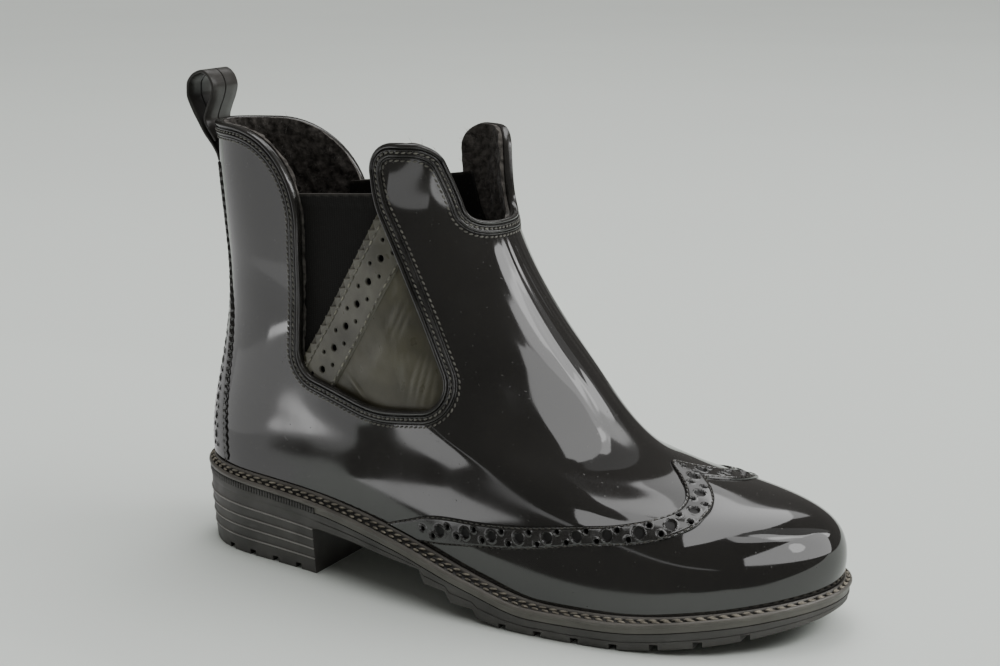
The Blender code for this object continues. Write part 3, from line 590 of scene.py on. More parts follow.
class CutGrid:
    """The cells of a (u, v) grid where keep(u, v) is negative, cut along the line where it is zero."""

    def __init__(self, us, vs, keep, closed=False):
        wide, high = len(us), len(vs)
        u, v = (part.ravel() for part in np.meshgrid(us, vs))
        inside = keep(u, v) < 0
        index = np.arange(wide * high).reshape(high, wide)
        if closed:
            index = np.concatenate([index, index[:, :1]], axis=1)
        pairs = np.concatenate([
            np.stack([index[:, :-1].ravel(), index[:, 1:].ravel()], axis=1),
            np.stack([index[:-1].ravel(), index[1:].ravel()], axis=1),
        ])
        pairs = np.unique(np.sort(pairs, axis=1), axis=0)
        crossed = pairs[inside[pairs[:, 0]] != inside[pairs[:, 1]]]
        cut_u, cut_v = self.crossings(u, v, inside, crossed, keep)
        number = np.full(wide * high, -1)
        number[inside] = np.arange(inside.sum())
        first_cut = int(inside.sum())
        at = {(a, b): first_cut + k for k, (a, b) in enumerate(crossed.tolist())}
        self.u = np.concatenate([u[inside], cut_u])
        self.v = np.concatenate([v[inside], cut_v])
        corners = np.stack([index[:-1, :-1], index[:-1, 1:], index[1:, 1:], index[1:, :-1]], axis=-1).reshape(-1, 4)
        filled = inside[corners].sum(axis=1)
        self.faces = [tuple(face) for face in number[corners[filled == 4]].tolist()]
        self.cuts = []
        for cell in corners[(filled > 0) & (filled < 4)].tolist():
            face = []
            for a, b in zip(cell, cell[1:] + cell[:1]):
                if inside[a]:
                    face.append(int(number[a]))
                if inside[a] != inside[b]:
                    face.append(at[(min(a, b), max(a, b))])
            self.faces.append(tuple(face))
            for a, b in zip(face, face[1:] + face[:1]):
                if a >= first_cut and b >= first_cut:
                    self.cuts.append((a, b))

    @staticmethod
    def crossings(u, v, inside, crossed, keep):
        """Where the zero line crosses each of these grid edges, by halving."""
        a = np.where(inside[crossed[:, 0]], crossed[:, 0], crossed[:, 1])
        b = np.where(inside[crossed[:, 0]], crossed[:, 1], crossed[:, 0])
        span = (u[b] - u[a] + math.pi) % TURN - math.pi
        low, high = np.zeros(len(a)), np.ones(len(a))
        for _ in range(HALVINGS):
            middle = (low + high) / 2
            within = keep(u[a] + span * middle, v[a] + (v[b] - v[a]) * middle) < 0
            low, high = np.where(within, middle, low), np.where(within, high, middle)
        return u[a] + span * low, v[a] + (v[b] - v[a]) * low

    def cut_loop(self):
        """The cut line as one closed loop of (u, v), with u unwrapped."""
        after = dict(self.cuts)
        start = self.cuts[0][0]
        chain = [start]
        while after[chain[-1]] != start:
            chain.append(after[chain[-1]])
        return np.unwrap(self.u[chain]), self.v[chain]

    def body(self, name, outer, inner):
        """A closed sheet between two offsets from the upper's face."""
        offsets = (np.broadcast_to(offset, self.u.shape) for offset in (outer, inner))
        return new_mesh(name, *shell(*(offset_surface(self.u, self.v, offset) for offset in offsets), self.faces))


def boundary_edges(faces):
    """Directed edges that belong to one face alone."""
    seen = {}
    for face in faces:
        for a, b in zip(face, face[1:] + face[:1]):
            if (b, a) in seen:
                del seen[(b, a)]
            else:
                seen[(a, b)] = True
    return list(seen)


def shell(outer, inner, faces):
    """Points and faces of a closed body between two sheets that share their faces."""
    count = len(outer)
    rim = [(b, a, a + count, b + count) for a, b in boundary_edges(faces)]
    turned = [tuple(i + count for i in reversed(face)) for face in faces]
    return np.concatenate([outer, inner]), faces + turned + rim


def grid_faces(rows, columns, closed_rows=False, closed_columns=False):
    """Quads of a grid of points kept row by row."""
    down = np.arange(rows if closed_rows else rows - 1)
    along = np.arange(columns if closed_columns else columns - 1)
    row, step = (part.ravel() for part in np.meshgrid(down, along, indexing="ij"))
    below, beside = (row + 1) % rows, (step + 1) % columns
    quads = [row * columns + step, row * columns + beside, below * columns + beside, below * columns + step]
    return [tuple(face) for face in np.stack(quads, axis=1).tolist()]


def metres(points):
    """Millimetres from the heel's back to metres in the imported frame."""
    return (np.asarray(points, float) - (HEEL_TREAD_X, 0, 0)) * MM


def new_mesh(name, points, faces, edges=()):
    mesh = bpy.data.meshes.new(name)
    mesh.from_pydata(metres(points), list(edges), faces)
    return mesh


@contextmanager
def edited(mesh):
    """A mesh opened for edits, whose faces are pointed outwards at the end."""
    work = bmesh.new()
    work.from_mesh(mesh)
    yield work
    bmesh.ops.recalc_face_normals(work, faces=work.faces)
    work.to_mesh(mesh)
    work.free()


def turn_faces_out(mesh, merge=0.0005):
    """Merges doubles, then points the faces of a closed body outwards."""
    with edited(mesh) as work:
        bmesh.ops.remove_doubles(work, verts=work.verts, dist=merge * MM)


def close_ends(mesh):
    """Fills the open ends of a tube and points its faces outwards."""
    with edited(mesh) as work:
        bmesh.ops.holes_fill(work, edges=[edge for edge in work.edges if edge.is_boundary])


def tube_mesh(name, lines, closed_columns=False):
    """A mesh round a section, from one line of points for each of the section's places."""
    faces = grid_faces(len(lines), len(lines[0]), closed_rows=True, closed_columns=closed_columns)
    return new_mesh(name, np.concatenate(lines), faces)


def put_in_scene(name, data):
    thing = bpy.data.objects.new(name, data)
    bpy.context.scene.collection.objects.link(thing)
    return thing


def add_piece(name, mesh, nodes=(), material=None, sharp=40.0):
    """Puts a finished mesh into the scene as a piece of the boot."""
    piece = put_in_scene(name, mesh)
    mesh.name = name
    if material:
        mesh.materials.clear()
        mesh.materials.append(material)
    if sharp:
        mesh.shade_smooth()
        mesh.set_sharp_from_angle(angle=math.radians(sharp))
    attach(piece, "root")
    if nodes:
        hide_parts(*nodes)
    return piece


def put_attribute(mesh, name, values):
    attribute = mesh.attributes.new(name, "FLOAT", "POINT")
    attribute.data.foreach_set("value", np.asarray(values, np.float32))


def put_on_both(mesh, name, values):
    """The same attribute on both sheets of a shell."""
    put_attribute(mesh, name, np.concatenate([values, values]))


def lumps(points, size, seed):
    """Smooth random hills of about this size in millimetres, between about -1 and 1."""
    random = np.random.default_rng(seed)
    directions = unit(random.normal(size=(HILL_WAVES, 3)))
    lengths = size * random.uniform(0.7, 1.6, HILL_WAVES)
    phases = random.uniform(0, TURN, HILL_WAVES)
    total = np.zeros(points.shape[:-1])
    for direction, length, phase in zip(directions, lengths, phases):
        total += np.sin(points @ direction * TURN / length + phase)
    return total / math.sqrt(HILL_WAVES)


# Materials

GLOSS_IOR = 1.75
# Near-black colour of the painted shade inside perforations
PIT_SHADE_COLOUR = (0.002, 0.002, 0.002)


def add_node(tree, kind, inputs=(), **settings):
    """A node with its settings made and its inputs linked or set, by name or place."""
    node = tree.nodes.new(kind)
    for setting, value in settings.items():
        setattr(node, setting, value)
    for socket, value in dict(inputs).items():
        if isinstance(value, bpy.types.NodeSocket):
            tree.links.new(value, node.inputs[socket])
        else:
            node.inputs[socket].default_value = value
    return node


class Finish:
    """A Principled material built up from patterns on the piece's own coordinates, in metres."""

    def __init__(self, name, colour, **values):
        self.material = bpy.data.materials.new(name)
        self.material.use_nodes = True
        self.tree = self.material.node_tree
        self.shader = self.tree.nodes["Principled BSDF"]
        self.colour = colour
        self.base = self.relief = None
        for socket, value in values.items():
            self.shader.inputs[socket.replace("_", " ")].default_value = value

    def node(self, kind, inputs=(), **settings):
        return add_node(self.tree, "ShaderNode" + kind, inputs, **settings)

    def link(self, value, socket):
        self.tree.links.new(value, self.shader.inputs[socket])

    def pattern(self, kind, scale, output="Fac", stretch=(1, 1, 1), turn=(0, 0, 0), **values):
        """A texture stretched and turned on the piece."""
        place = self.node("TexCoord").outputs["Object"]
        mapping = self.node("Mapping", {"Vector": place, "Scale": stretch, "Rotation": turn})
        inputs = {"Vector": mapping.outputs["Vector"], "Scale": scale, **values}
        return self.node("Tex" + kind, inputs).outputs[output]

    def noise(self, scale, detail, **others):
        return self.pattern("Noise", scale, Detail=detail, **others)

    def attribute(self, name):
        return self.node("Attribute", attribute_name=name).outputs["Fac"]

    def spread(self, value, low, high, from_low=0.3, from_high=0.7):
        """A value mapped from one range to another."""
        ends = {"From Min": from_low, "From Max": from_high, "To Min": low, "To Max": high}
        return self.node("MapRange", {"Value": value, **ends}).outputs["Result"]

    def mottle(self, scale, detail, low=0, high=1, from_low=0.3, from_high=0.7, **others):
        return self.spread(self.noise(scale, detail, **others), low, high, from_low, from_high)

    def combine(self, operation, a, b):
        return self.node("Math", {0: a, 1: b}, operation=operation).outputs["Value"]

    def tone(self, value):
        """A colour, another node's output, or a share of the finish's own colour."""
        if isinstance(value, bpy.types.NodeSocket):
            return value
        colour = value if isinstance(value, tuple) else [channel * value for channel in self.colour]
        return (*colour, 1)

    def shade(self, share, first, second):
        """Sets the base colour between two tones."""
        ends = {6: self.tone(first), 7: self.tone(second)}
        self.base = self.node("Mix", {"Factor": share, **ends}, data_type="RGBA").outputs[2]
        self.link(self.base, "Base Color")

    def over(self, share, tone):
        """Lays another tone over the base colour."""
        self.shade(share, self.base, tone)

    def rough(self, scale, detail, low, high):
        self.link(self.mottle(scale, detail, low, high), "Roughness")

    def dark_pits(self):
        """Painted shade in the perforations: dark, and without shine."""
        pit = self.attribute("pit")
        self.over(pit, PIT_SHADE_COLOUR)
        self.link(self.spread(pit, 0.5, 0.0, 0, 1), "Specular IOR Level")

    def bump(self, height, distance, strength):
        """Fine relief in millimetres, over any that was there before."""
        under = {"Normal": self.relief} if self.relief else {}
        inputs = {"Distance": distance * MM, "Strength": strength, "Height": height, **under}
        self.relief = self.node("Bump", inputs).outputs["Normal"]
        self.link(self.relief, "Normal")


def gloss_material(colour):
    """Dipped rubber with a mirror gloss: slow waves in the face, smears and a little dust."""
    finish = Finish("boot_gloss", colour, IOR=GLOSS_IOR)
    finish.shade(finish.mottle(26, 3), 0.8, 1.35)
    specks = finish.mottle(900, 2, 0, 1, 0.70, 0.76)
    finish.over(specks, 3.0)
    smear = finish.mottle(42, 4, 0.035, 0.10, stretch=(1, 1, 0.4))
    finish.link(finish.combine("ADD", smear, finish.spread(specks, 0, 0.25, 0, 1)), "Roughness")
    finish.bump(finish.noise(16, 1), 0.5, 0.10)
    return finish.material


def trim_material(colour):
    """Moulded trim: gloss rubber a little duller than the rest, with painted shade in its perforations."""
    finish = Finish("boot_trim", colour, IOR=GLOSS_IOR)
    finish.shade(finish.mottle(160, 4), 0.7, 1.4)
    deep = finish.spread(finish.attribute("pit"), 0, 0.6, 0, 1)
    finish.link(finish.combine("ADD", finish.mottle(70, 3, 0.08, 0.20), deep), "Roughness")
    # Painted shade in the perforations
    finish.dark_pits()
    finish.bump(finish.noise(700, 3), 0.02, 0.4)
    return finish.material


def binding_material(colour):
    """Gloss rubber of the edge binding, a little dulled in worn places."""
    finish = Finish("boot_binding", colour, IOR=GLOSS_IOR)
    finish.shade(finish.mottle(120, 4), 0.6, 1.6)
    finish.rough(240, 3, 0.12, 0.26)
    finish.bump(finish.noise(900, 2), 0.02, 0.4)
    return finish.material


def stitch_material(name, colour, dull):
    """Moulded stitches, with each a little different in shade."""
    finish = Finish(name, colour)
    finish.shade(finish.mottle(380, 2), 0.45, 1.5)
    finish.rough(500, 2, dull - 0.1, dull + 0.1)
    finish.bump(finish.pattern("Wave", 1500, Distortion=2.0), 0.08, 0.5)
    return finish.material


def panel_material(name, colour):
    """Olive panel beside the gore: fine leather grain with paler streaks and paler crease ridges."""
    finish = Finish(name, colour, IOR=1.5)
    finish.shade(finish.mottle(60, 5), 0.62, 1.35)
    streaks = finish.mottle(130, 4, 0, 0.55, 0.58, 0.74, stretch=(1, 1, 0.35), turn=(0, 0.5, 0))
    finish.over(streaks, (0.15, 0.145, 0.115))
    # Paler on the ridges of the creases
    finish.over(finish.attribute("rubbed"), (0.21, 0.20, 0.165))
    finish.rough(180, 4, 0.26, 0.46)
    # Painted shade in the pinked strip's perforations
    finish.dark_pits()
    finish.bump(finish.pattern("Voronoi", 1500, "Distance"), 0.06, 0.4)
    finish.bump(finish.noise(220, 5), 0.25, 0.5)
    return finish.material


def elastic_material(colour):
    """Ribbed elastic webbing: upright cords crossed by fine weft."""
    finish = Finish("boot_elastic", colour, Sheen_Weight=0.08, Sheen_Roughness=0.5, Roughness=0.9,
                    Specular_IOR_Level=0.2)
    weft = finish.pattern("Wave", 420, turn=(0, math.pi / 2, 0), Distortion=0.6)
    weave = finish.combine("MULTIPLY", finish.pattern("Wave", 260), weft)
    finish.shade(weave, 0.75, 1.3)
    finish.over(finish.mottle(1200, 3, 0, 0.5, 0.62, 0.75), 4.0)
    finish.over(finish.attribute("hem"), 5.0)
    finish.bump(weave, 0.12, 0.6)
    return finish.material


def sole_material(name, colour, dull):
    """Matt sole rubber: mottled, with paler scuffs, a fine moulded grain and painted shade in the welt's rope bed."""
    finish = Finish(name, colour, IOR=1.5)
    finish.shade(finish.mottle(55, 5), 0.75, 1.3)
    finish.over(finish.mottle(220, 5, 0, 0.6, 0.6, 0.78, stretch=(0.4, 0.4, 1.4)), 1.8)
    # Painted shade: the welt's rope bed darkened to 0.12 of the colour
    finish.over(finish.attribute("bed"), 0.12)
    finish.rough(130, 4, dull - 0.1, dull + 0.1)
    finish.bump(finish.noise(1100, 3), 0.06, 0.6)
    return finish.material


def fleece_material(name, colour):
    """Black fleece: no gloss, a soft sheen and a deep nap."""
    finish = Finish(name, colour, Sheen_Weight=0.5, Sheen_Roughness=0.4, Sheen_Tint=(0.35, 0.35, 0.35, 1),
                    Roughness=1.0, Specular_IOR_Level=0.1)
    tufts = finish.noise(420, 5)
    finish.shade(finish.spread(tufts, 0, 1), 0.4, 1.8)
    finish.bump(tufts, 0.9, 0.9)
    return finish.material


def ribbon_material(colour):
    """Pull ribbon: satin rubberised tape with fine lengthwise ribs."""
    finish = Finish("boot_ribbon", colour, IOR=1.5)
    finish.shade(finish.mottle(90, 4), 0.7, 1.3)
    finish.rough(150, 3, 0.3, 0.45)
    finish.bump(finish.pattern("Wave", 420, turn=(0, 0, math.pi / 2)), 0.02, 0.4)
    finish.bump(finish.noise(1000, 2), 0.04, 0.5)
    return finish.material


def floor_material(colour):
    finish = Finish("stage_floor", colour, Roughness=0.9, Specular_IOR_Level=0.1)
    finish.shade(finish.mottle(1.5, 2), 0.97, 1.0)
    return finish.material


def light_material(name, strength):
    material = bpy.data.materials.new(name)
    material.use_nodes = True
    tree = material.node_tree
    tree.nodes.clear()
    glow = add_node(tree, "ShaderNodeEmission", {"Strength": strength})
    add_node(tree, "ShaderNodeOutputMaterial", {"Surface": glow.outputs["Emission"]})
    return material


def shared_material(maker, *values):
    """Each material is made once and shared by its pieces."""
    key = "-".join([maker.__name__, *(value for value in values if isinstance(value, str))])
    known = shared_material.made
    if key not in known:
        known[key] = maker(*values)
    return known[key]


shared_material.made = {}


# Node trees


class PieceTree:
    """A Geometry Nodes tree with named inputs, built up node by node."""

    def __init__(self, name, **sockets):
        self.tree = bpy.data.node_groups.new(name, "GeometryNodeTree")
        for socket, kind in {"Geometry": "Geometry", **sockets}.items():
            self.tree.interface.new_socket(socket, in_out="INPUT", socket_type="NodeSocket" + kind)
        self.tree.interface.new_socket("Geometry", in_out="OUTPUT", socket_type="NodeSocketGeometry")
        self.given = self.tree.nodes.new("NodeGroupInput").outputs

    def add(self, kind, inputs=(), output=0, family="GeometryNode", **settings):
        """One output of a new node."""
        return add_node(self.tree, family + kind, inputs, **settings).outputs[output]

    def vector(self, **parts):
        return self.add("CombineXYZ", parts, family="ShaderNode")

    def math(self, operation, a, b):
        return self.add("Math", {0: a, 1: b}, family="ShaderNode", operation=operation)

    def finish(self, instances):
        """Makes the instances real, smooth and of the given material."""
        real = self.add("RealizeInstances", {"Geometry": instances})
        soft = self.add("SetShadeSmooth", {"Geometry": real})
        made = self.add("SetMaterial", {"Geometry": soft, "Material": self.given["Material"]})
        add_node(self.tree, "NodeGroupOutput", {0: made})
        return self.tree


@cache
def stitch_tree():
    """Rounded stitches set along edge lines, standing square to the attribute out."""
    tree = PieceTree("stitch_row", Pitch="Float", Length="Float", Width="Float", Height="Float", Slant="Float",
                     Square="Bool", Material="Material")
    given = tree.given
    curve = tree.add("MeshToCurve", {"Mesh": given["Geometry"]})
    spaced = tree.add("ResampleCurve", {"Curve": curve, "Length": given["Pitch"]}, mode="LENGTH")
    out = tree.add("InputNamedAttribute", {"Name": "out"}, data_type="FLOAT_VECTOR")
    turn = tree.add("AxesToRotation", {0: out, 1: tree.add("InputTangent")}, family="FunctionNode",
                    primary_axis="Z", secondary_axis="X")
    ball = tree.add("MeshUVSphere", {"Segments": 8, "Rings": 5, "Radius": 0.5})
    bar = tree.add("MeshCube", {"Size": (1.0, 1.0, 1.0)})
    form = tree.add("Switch", {"Switch": given["Square"], "False": ball, "True": bar},
                    input_type="GEOMETRY")
    size = tree.vector(X=given["Length"], Y=given["Width"], Z=given["Height"])
    slant = tree.vector(Z=given["Slant"])
    stitch = tree.add("Transform", {"Geometry": form, "Rotation": slant, "Scale": size})
    return tree.finish(tree.add("InstanceOnPoints", {
        "Points": spaced, "Instance": stitch, "Rotation": turn,
    }))


@cache
def cord_tree():
    """A thin round cord along edge lines."""
    tree = PieceTree("cord", Radius="Float", Material="Material")
    curve = tree.add("MeshToCurve", {"Mesh": tree.given["Geometry"]})
    ring = tree.add("CurvePrimitiveCircle", {"Resolution": 8, "Radius": tree.given["Radius"]})
    return tree.finish(tree.add("CurveToMesh", {
        "Curve": curve, "Profile Curve": ring, "Fill Caps": True,
    }))


NAP_BEND = 140.0
NAP_SCALES = {2: 0.4, 3: 1.25}


@cache
def nap_tree():
    """Short bent hairs scattered over a face by the attribute nap."""
    tree = PieceTree("fleece_nap", Density="Float", Length="Float", Thickness="Float", Lean="Float", Seed="Int",
                     Material="Material")
    given = tree.given
    seed = {"Seed": given["Seed"]}
    nap = tree.add("InputNamedAttribute", {"Name": "nap"}, data_type="FLOAT")
    dense = tree.math("MULTIPLY", nap, given["Density"])
    points = add_node(tree.tree, "GeometryNodeDistributePointsOnFaces", {
        "Mesh": given["Geometry"], "Density": dense, **seed,
    }).outputs
    hair = tree.add("MeshCone", {
        "Vertices": 3, "Side Segments": 3, "Radius Bottom": given["Thickness"], "Depth": given["Length"],
    })
    height = tree.add("SeparateXYZ", {0: tree.add("InputPosition")}, "Z", "ShaderNode")
    bend = tree.math("MULTIPLY", tree.math("POWER", height, 2.0), NAP_BEND)
    bent = tree.add("SetPosition", {"Geometry": hair, "Offset": tree.vector(X=bend)})
    back = tree.math("MULTIPLY", given["Lean"], -1.0)
    low = tree.vector(X=back, Y=back, Z=-math.pi)
    high = tree.vector(X=given["Lean"], Y=given["Lean"], Z=math.pi)
    lean = tree.add("RandomValue", {0: low, 1: high, **seed}, 0, "FunctionNode", data_type="FLOAT_VECTOR")
    leaned = tree.add("EulerToRotation", {0: lean}, 0, "FunctionNode")
    turn = tree.add("RotateRotation", {0: points["Rotation"], 1: leaned}, 0, "FunctionNode", rotation_space="LOCAL")
    scale = tree.add("RandomValue", {**NAP_SCALES, **seed}, 1, "FunctionNode", data_type="FLOAT")
    return tree.finish(tree.add("InstanceOnPoints", {
        "Points": points["Points"], "Instance": bent, "Rotation": turn, "Scale": scale,
    }))


def run_tree(tree, mesh, values):
    """The mesh that a node tree makes of another mesh."""
    carrier = put_in_scene(mesh.name, mesh)
    modifier = carrier.modifiers.new(tree.name, "NODES")
    modifier.node_group = tree
    for socket in tree.interface.items_tree:
        if socket.in_out == "INPUT" and socket.name in values:
            modifier[socket.identifier] = values[socket.name]
    bpy.context.view_layer.update()
    evaluated = carrier.evaluated_get(bpy.context.evaluated_depsgraph_get())
    made = bpy.data.meshes.new_from_object(evaluated)
    carrier.modifiers.remove(modifier)
    bpy.data.objects.remove(carrier)
    if not made.polygons:
        raise RuntimeError(f"{tree.name} made nothing of {mesh.name}")
    return made


Row = namedtuple("Row", "points outs closed")


def row_mesh(name, rows):
    """The rows' middle lines as edges, with the direction out of the face at each point."""
    points, edges, outs = [], [], []
    start = 0
    for row in rows:
        count = len(row.points)
        last = count if row.closed else count - 1
        edges += [(start + i, start + (i + 1) % count) for i in range(last)]
        points.append(row.points)
        outs.append(row.outs)
        start += count
    mesh = new_mesh(name + "_line", np.concatenate(points), [], edges)
    attribute = mesh.attributes.new("out", "FLOAT_VECTOR", "POINT")
    attribute.data.foreach_set("vector", np.concatenate(outs).astype(np.float32).ravel())
    return mesh


def cord_piece(name, rows, radius, material):
    """Thin cords along rows, as one piece."""
    made = run_tree(cord_tree(), row_mesh(name, rows), {"Radius": radius * MM, "Material": material})
    return add_piece(name, made, sharp=None)


def stitch_piece(name, rows, size, material, pitch, slant=0.0, square=False):
    """Rows of stitches, or of square bars, as one piece. size is the length, width and height in millimetres."""
    length, width, height = (side * MM for side in size)
    made = run_tree(stitch_tree(), row_mesh(name, rows), {
        "Pitch": pitch * MM, "Length": length, "Width": width, "Height": height,
        "Slant": slant, "Square": square, "Material": material,
    })
    return add_piece(name, made, sharp=None)


def face_row(u, v, height):
    """A row of stitches at this height over the upper's face."""
    return Row(offset_surface(u, v, np.full(len(u), height)), normal(u, v), False)


# The upper and its collar


def flutes(u, v, sizes):
    """Soft lengthwise flutes of the instep, which fan out and fade below the throat, in millimetres."""
    levels = np.linspace(0, TOP_RING, 65)
    along_u, _ = tangents(np.full_like(levels, math.pi), levels)
    girth = np.interp(v, levels, np.linalg.norm(along_u, axis=-1))
    aside = (u - math.pi) * girth
    pitch = np.interp(v, FLUTE_LEVELS, FLUTE_PITCHES)
    window = np.exp(-(aside / (pitch * FLUTE_REACH)) ** 4) * ease(*FLUTE_FADE, v)
    deeper = 1 + 0.35 * np.sin(aside / pitch * 2.3 + 0.6)
    return sizes.flute_depth / MM * window * deeper * np.cos(TURN * aside / pitch)


def upper_relief(u, v, sizes):
    """All soft relief of the upper's face, in millimetres."""
    slow = lumps(surface(u, v), FACE_WAVE_SIZE, seed=5) * sizes.face_waves / MM
    return flutes(u, v, sizes) + slow


def upper_columns():
    """Angles round the foot, close together on the instep for its flutes."""
    front = math.pi + np.linspace(-INSTEP_HALF, INSTEP_HALF, INSTEP_COLUMNS)
    rest = np.linspace(math.pi + INSTEP_HALF, 3 * math.pi - INSTEP_HALF, OTHER_COLUMNS)[1:-1]
    return np.sort(np.concatenate([front, rest]) % TURN)


def make_upper(sizes, colours):
    grid = CutGrid(upper_columns(), np.linspace(0, TOP_RING, UPPER_ROWS), under_top_line(0.0), closed=True)
    mesh = grid.body("upper_skin", upper_relief(grid.u % TURN, grid.v, sizes), -WALL)
    add_piece("upper_skin", mesh, ["upper"], shared_material(gloss_material, colours.gloss))


class EdgePath:
    """The upper's top edge once round, with the face's frame there and lines walked down from it."""

    def __init__(self):
        keep = under_top_line(0.0)
        grid = CutGrid(np.linspace(0, TURN, EDGE_COLUMNS, endpoint=False),
                       np.linspace(EDGE_FOOT, TOP_RING, EDGE_ROWS), keep, closed=True)
        u, v = grid.cut_loop()
        if u[-1] < u[0]:
            u, v = u[::-1], v[::-1]
        u, v = self.even(u, v)
        for _ in range(3):
            u, v = self.onto_edge(u, v, keep)
        u, v = self.even(u, v)
        self.u, self.v = self.onto_edge(u, v, keep)
        points = surface(self.u, self.v)
        self.along = unit(np.roll(points, -1, axis=0) - np.roll(points, 1, axis=0))
        out = normal(self.u, self.v)
        down = unit(np.cross(out, self.along))
        trial = keep(*move_on_face(self.u, self.v, down * EDGE_STEP))
        self.sign = -1.0 if np.mean(trial) > 0 else 1.0
        self.levels = np.arange(0, EDGE_DEPTH + EDGE_STEP, EDGE_STEP)
        lines = [(self.u, self.v)]
        for _ in self.levels[1:]:
            u, v = lines[-1]
            down = self.sign * unit(np.cross(normal(u, v), self.along))
            lines.append(move_on_face(u, v, down * EDGE_STEP))
        self.lines = np.array(lines)

    @staticmethod
    def even(u, v):
        """The closed loop again with points evenly apart."""
        u, v = np.append(u, u[0] + TURN), np.append(v, v[0])
        run = run_length(surface(u, v))
        places = np.linspace(0, run[-1], int(run[-1] / EDGE_SPACING), endpoint=False)
        return np.interp(places, run, u), np.interp(places, run, v)

    @staticmethod
    def onto_edge(u, v, keep):
        """Moves points the shortest way along the face onto the edge line."""
        step = EDGE_SLOPE_STEP
        away = keep(u, v)
        slope_u = (keep(u + step, v) - keep(u - step, v)) / (2 * step)
        slope_v = (keep(u, v + step) - keep(u, v - step)) / (2 * step)
        move_u, move_v = steps_on_face(*tangents(u, v), slope_u, slope_v)
        share = -away / np.maximum(slope_u * move_u + slope_v * move_v, 1e-9)
        share = np.clip(share, -EDGE_LEAP, EDGE_LEAP)
        return u + share * move_u, v + share * move_v

    def line(self, across):
        """The (u, v) line this far down the face from the edge."""
        place = np.clip(across, 0, self.levels[-1])
        k = min(int(place / self.levels[1]), len(self.levels) - 2)
        share = place / self.levels[1] - k
        return self.lines[k] * (1 - share) + self.lines[k + 1] * share

    def points(self, across, out):
        """Points this far down the face from the edge, and out from it. Less than 0 reaches past the edge."""
        u, v = self.line(across)
        face, away = surface(u, v), normal(u, v)
        if across < 0:
            face = face + self.sign * unit(np.cross(away, self.along)) * across
        return face + away * out, away


def softened(rows):
    """A profile with its corners cut round, keeping its ends."""
    points = np.array(rows, float)
    near = points[:-1] * 0.75 + points[1:] * 0.25
    far = points[:-1] * 0.25 + points[1:] * 0.75
    middle = np.stack([near, far], axis=1).reshape(-1, 2)
    return np.concatenate([points[:1], middle, points[-1:]])


def make_collar(sizes, colours):
    path = EdgePath()
    lines = [path.points(across, out)[0] for across, out in softened(BINDING)]
    mesh = tube_mesh("collar_roll", lines, closed_columns=True)
    turn_faces_out(mesh)
    binding = shared_material(binding_material, colours.binding)
    add_piece("collar_roll", mesh, ["collar_binding"], binding, sharp=50)
    # The collar stitches are moulded in the black rubber; their pale colour is a painted highlight
    thread = shared_material(stitch_material, "boot_collar_thread", colours.thread, 0.3)
    rows = [Row(*path.points(*place), True) for place in BINDING_STITCHES]
    pitch = sizes.stitch_pitch / MM
    size = (COLLAR_STITCH_SHARE * pitch, *COLLAR_STITCH)
    stitch_piece("collar_stitches", rows, size, thread, pitch, slant=COLLAR_STITCH_SLANT)


# The lining


def make_lining(sizes, colours):
    """A fleece sheet inside the wall, lumpy on its open side, and the nap that stands from it."""
    us = np.linspace(0, TURN, LINING_COLUMNS, endpoint=False)
    vs = np.linspace(LINING_FOOT, TOP_RING, LINING_ROWS)
    grid = CutGrid(us, vs, under_top_line(FLEECE_EDGE), closed=True)
    face = surface(grid.u, grid.v)
    tufts = lumps(face, 5.0, seed=11) * 0.30 + lumps(face, 2.6, seed=12) * 0.22
    deep = WALL + GAP + sizes.fleece_depth / MM * np.clip(1 + tufts, 0.25, 1.9)
    mesh = grid.body("fleece_lining", -FLEECE_BACK, -deep)
    near_top = ease(*NAP_FADE, grid.v)
    put_attribute(mesh, "nap", np.concatenate([np.zeros(len(near_top)), near_top]))
    black = shared_material(fleece_material, "boot_fleece", colours.fleece)
    lining = add_piece("fleece_lining", mesh, (), black)
    hairs = run_tree(nap_tree(), lining.data, {
        "Density": sizes.nap_density, "Length": sizes.nap_length, "Thickness": NAP_THICKNESS,
        "Lean": NAP_LEAN, "Seed": sizes.seed, "Material": black,
    })
    add_piece("fleece_nap", hairs, sharp=None)


# The gores


def patch_shell(name, keep, top, thick, columns, side):
    """A closed sheet over a gore opening: top(face) is its outer offset, and side -1 puts it on the inner side."""
    us = np.linspace(*PATCH_ANGLES, columns)
    if side < 0:
        us = (TURN - us)[::-1]
    grid = CutGrid(us, np.linspace(*PATCH_LEVELS, PATCH_ROWS), keep)
    face = surface(grid.u, grid.v)
    offset = top(face)
    return grid.body(name, offset, np.minimum(offset, np.median(offset)) - thick), face


# Creases of the olive panel from the side: middle, direction, length, width and height
Crease = namedtuple("Crease", "x z dx dz length width height")
PANEL_CREASES = table(
    Crease,
    (106.0, 110.5, 0.45, 0.89, 7.0, 0.9, 0.55), (108.6, 109.0, 0.43, 0.90, 8.0, 0.8, 0.55),
    (111.0, 107.0, 0.42, 0.91, 7.0, 0.9, 0.50), (116.0, 88.5, 0.28, 0.96, 8.0, 0.9, 0.70),
    (118.6, 87.5, 0.24, 0.97, 9.0, 0.8, 0.75), (121.2, 86.0, 0.20, 0.98, 8.0, 0.9, 0.70),
    (124.0, 84.0, 0.10, 0.99, 7.0, 1.0, 0.50), (86.0, 78.5, 0.75, -0.66, 6.0, 1.1, 0.50),
    (98.0, 92.0, 0.60, 0.80, 12.0, 3.0, 0.25),
)


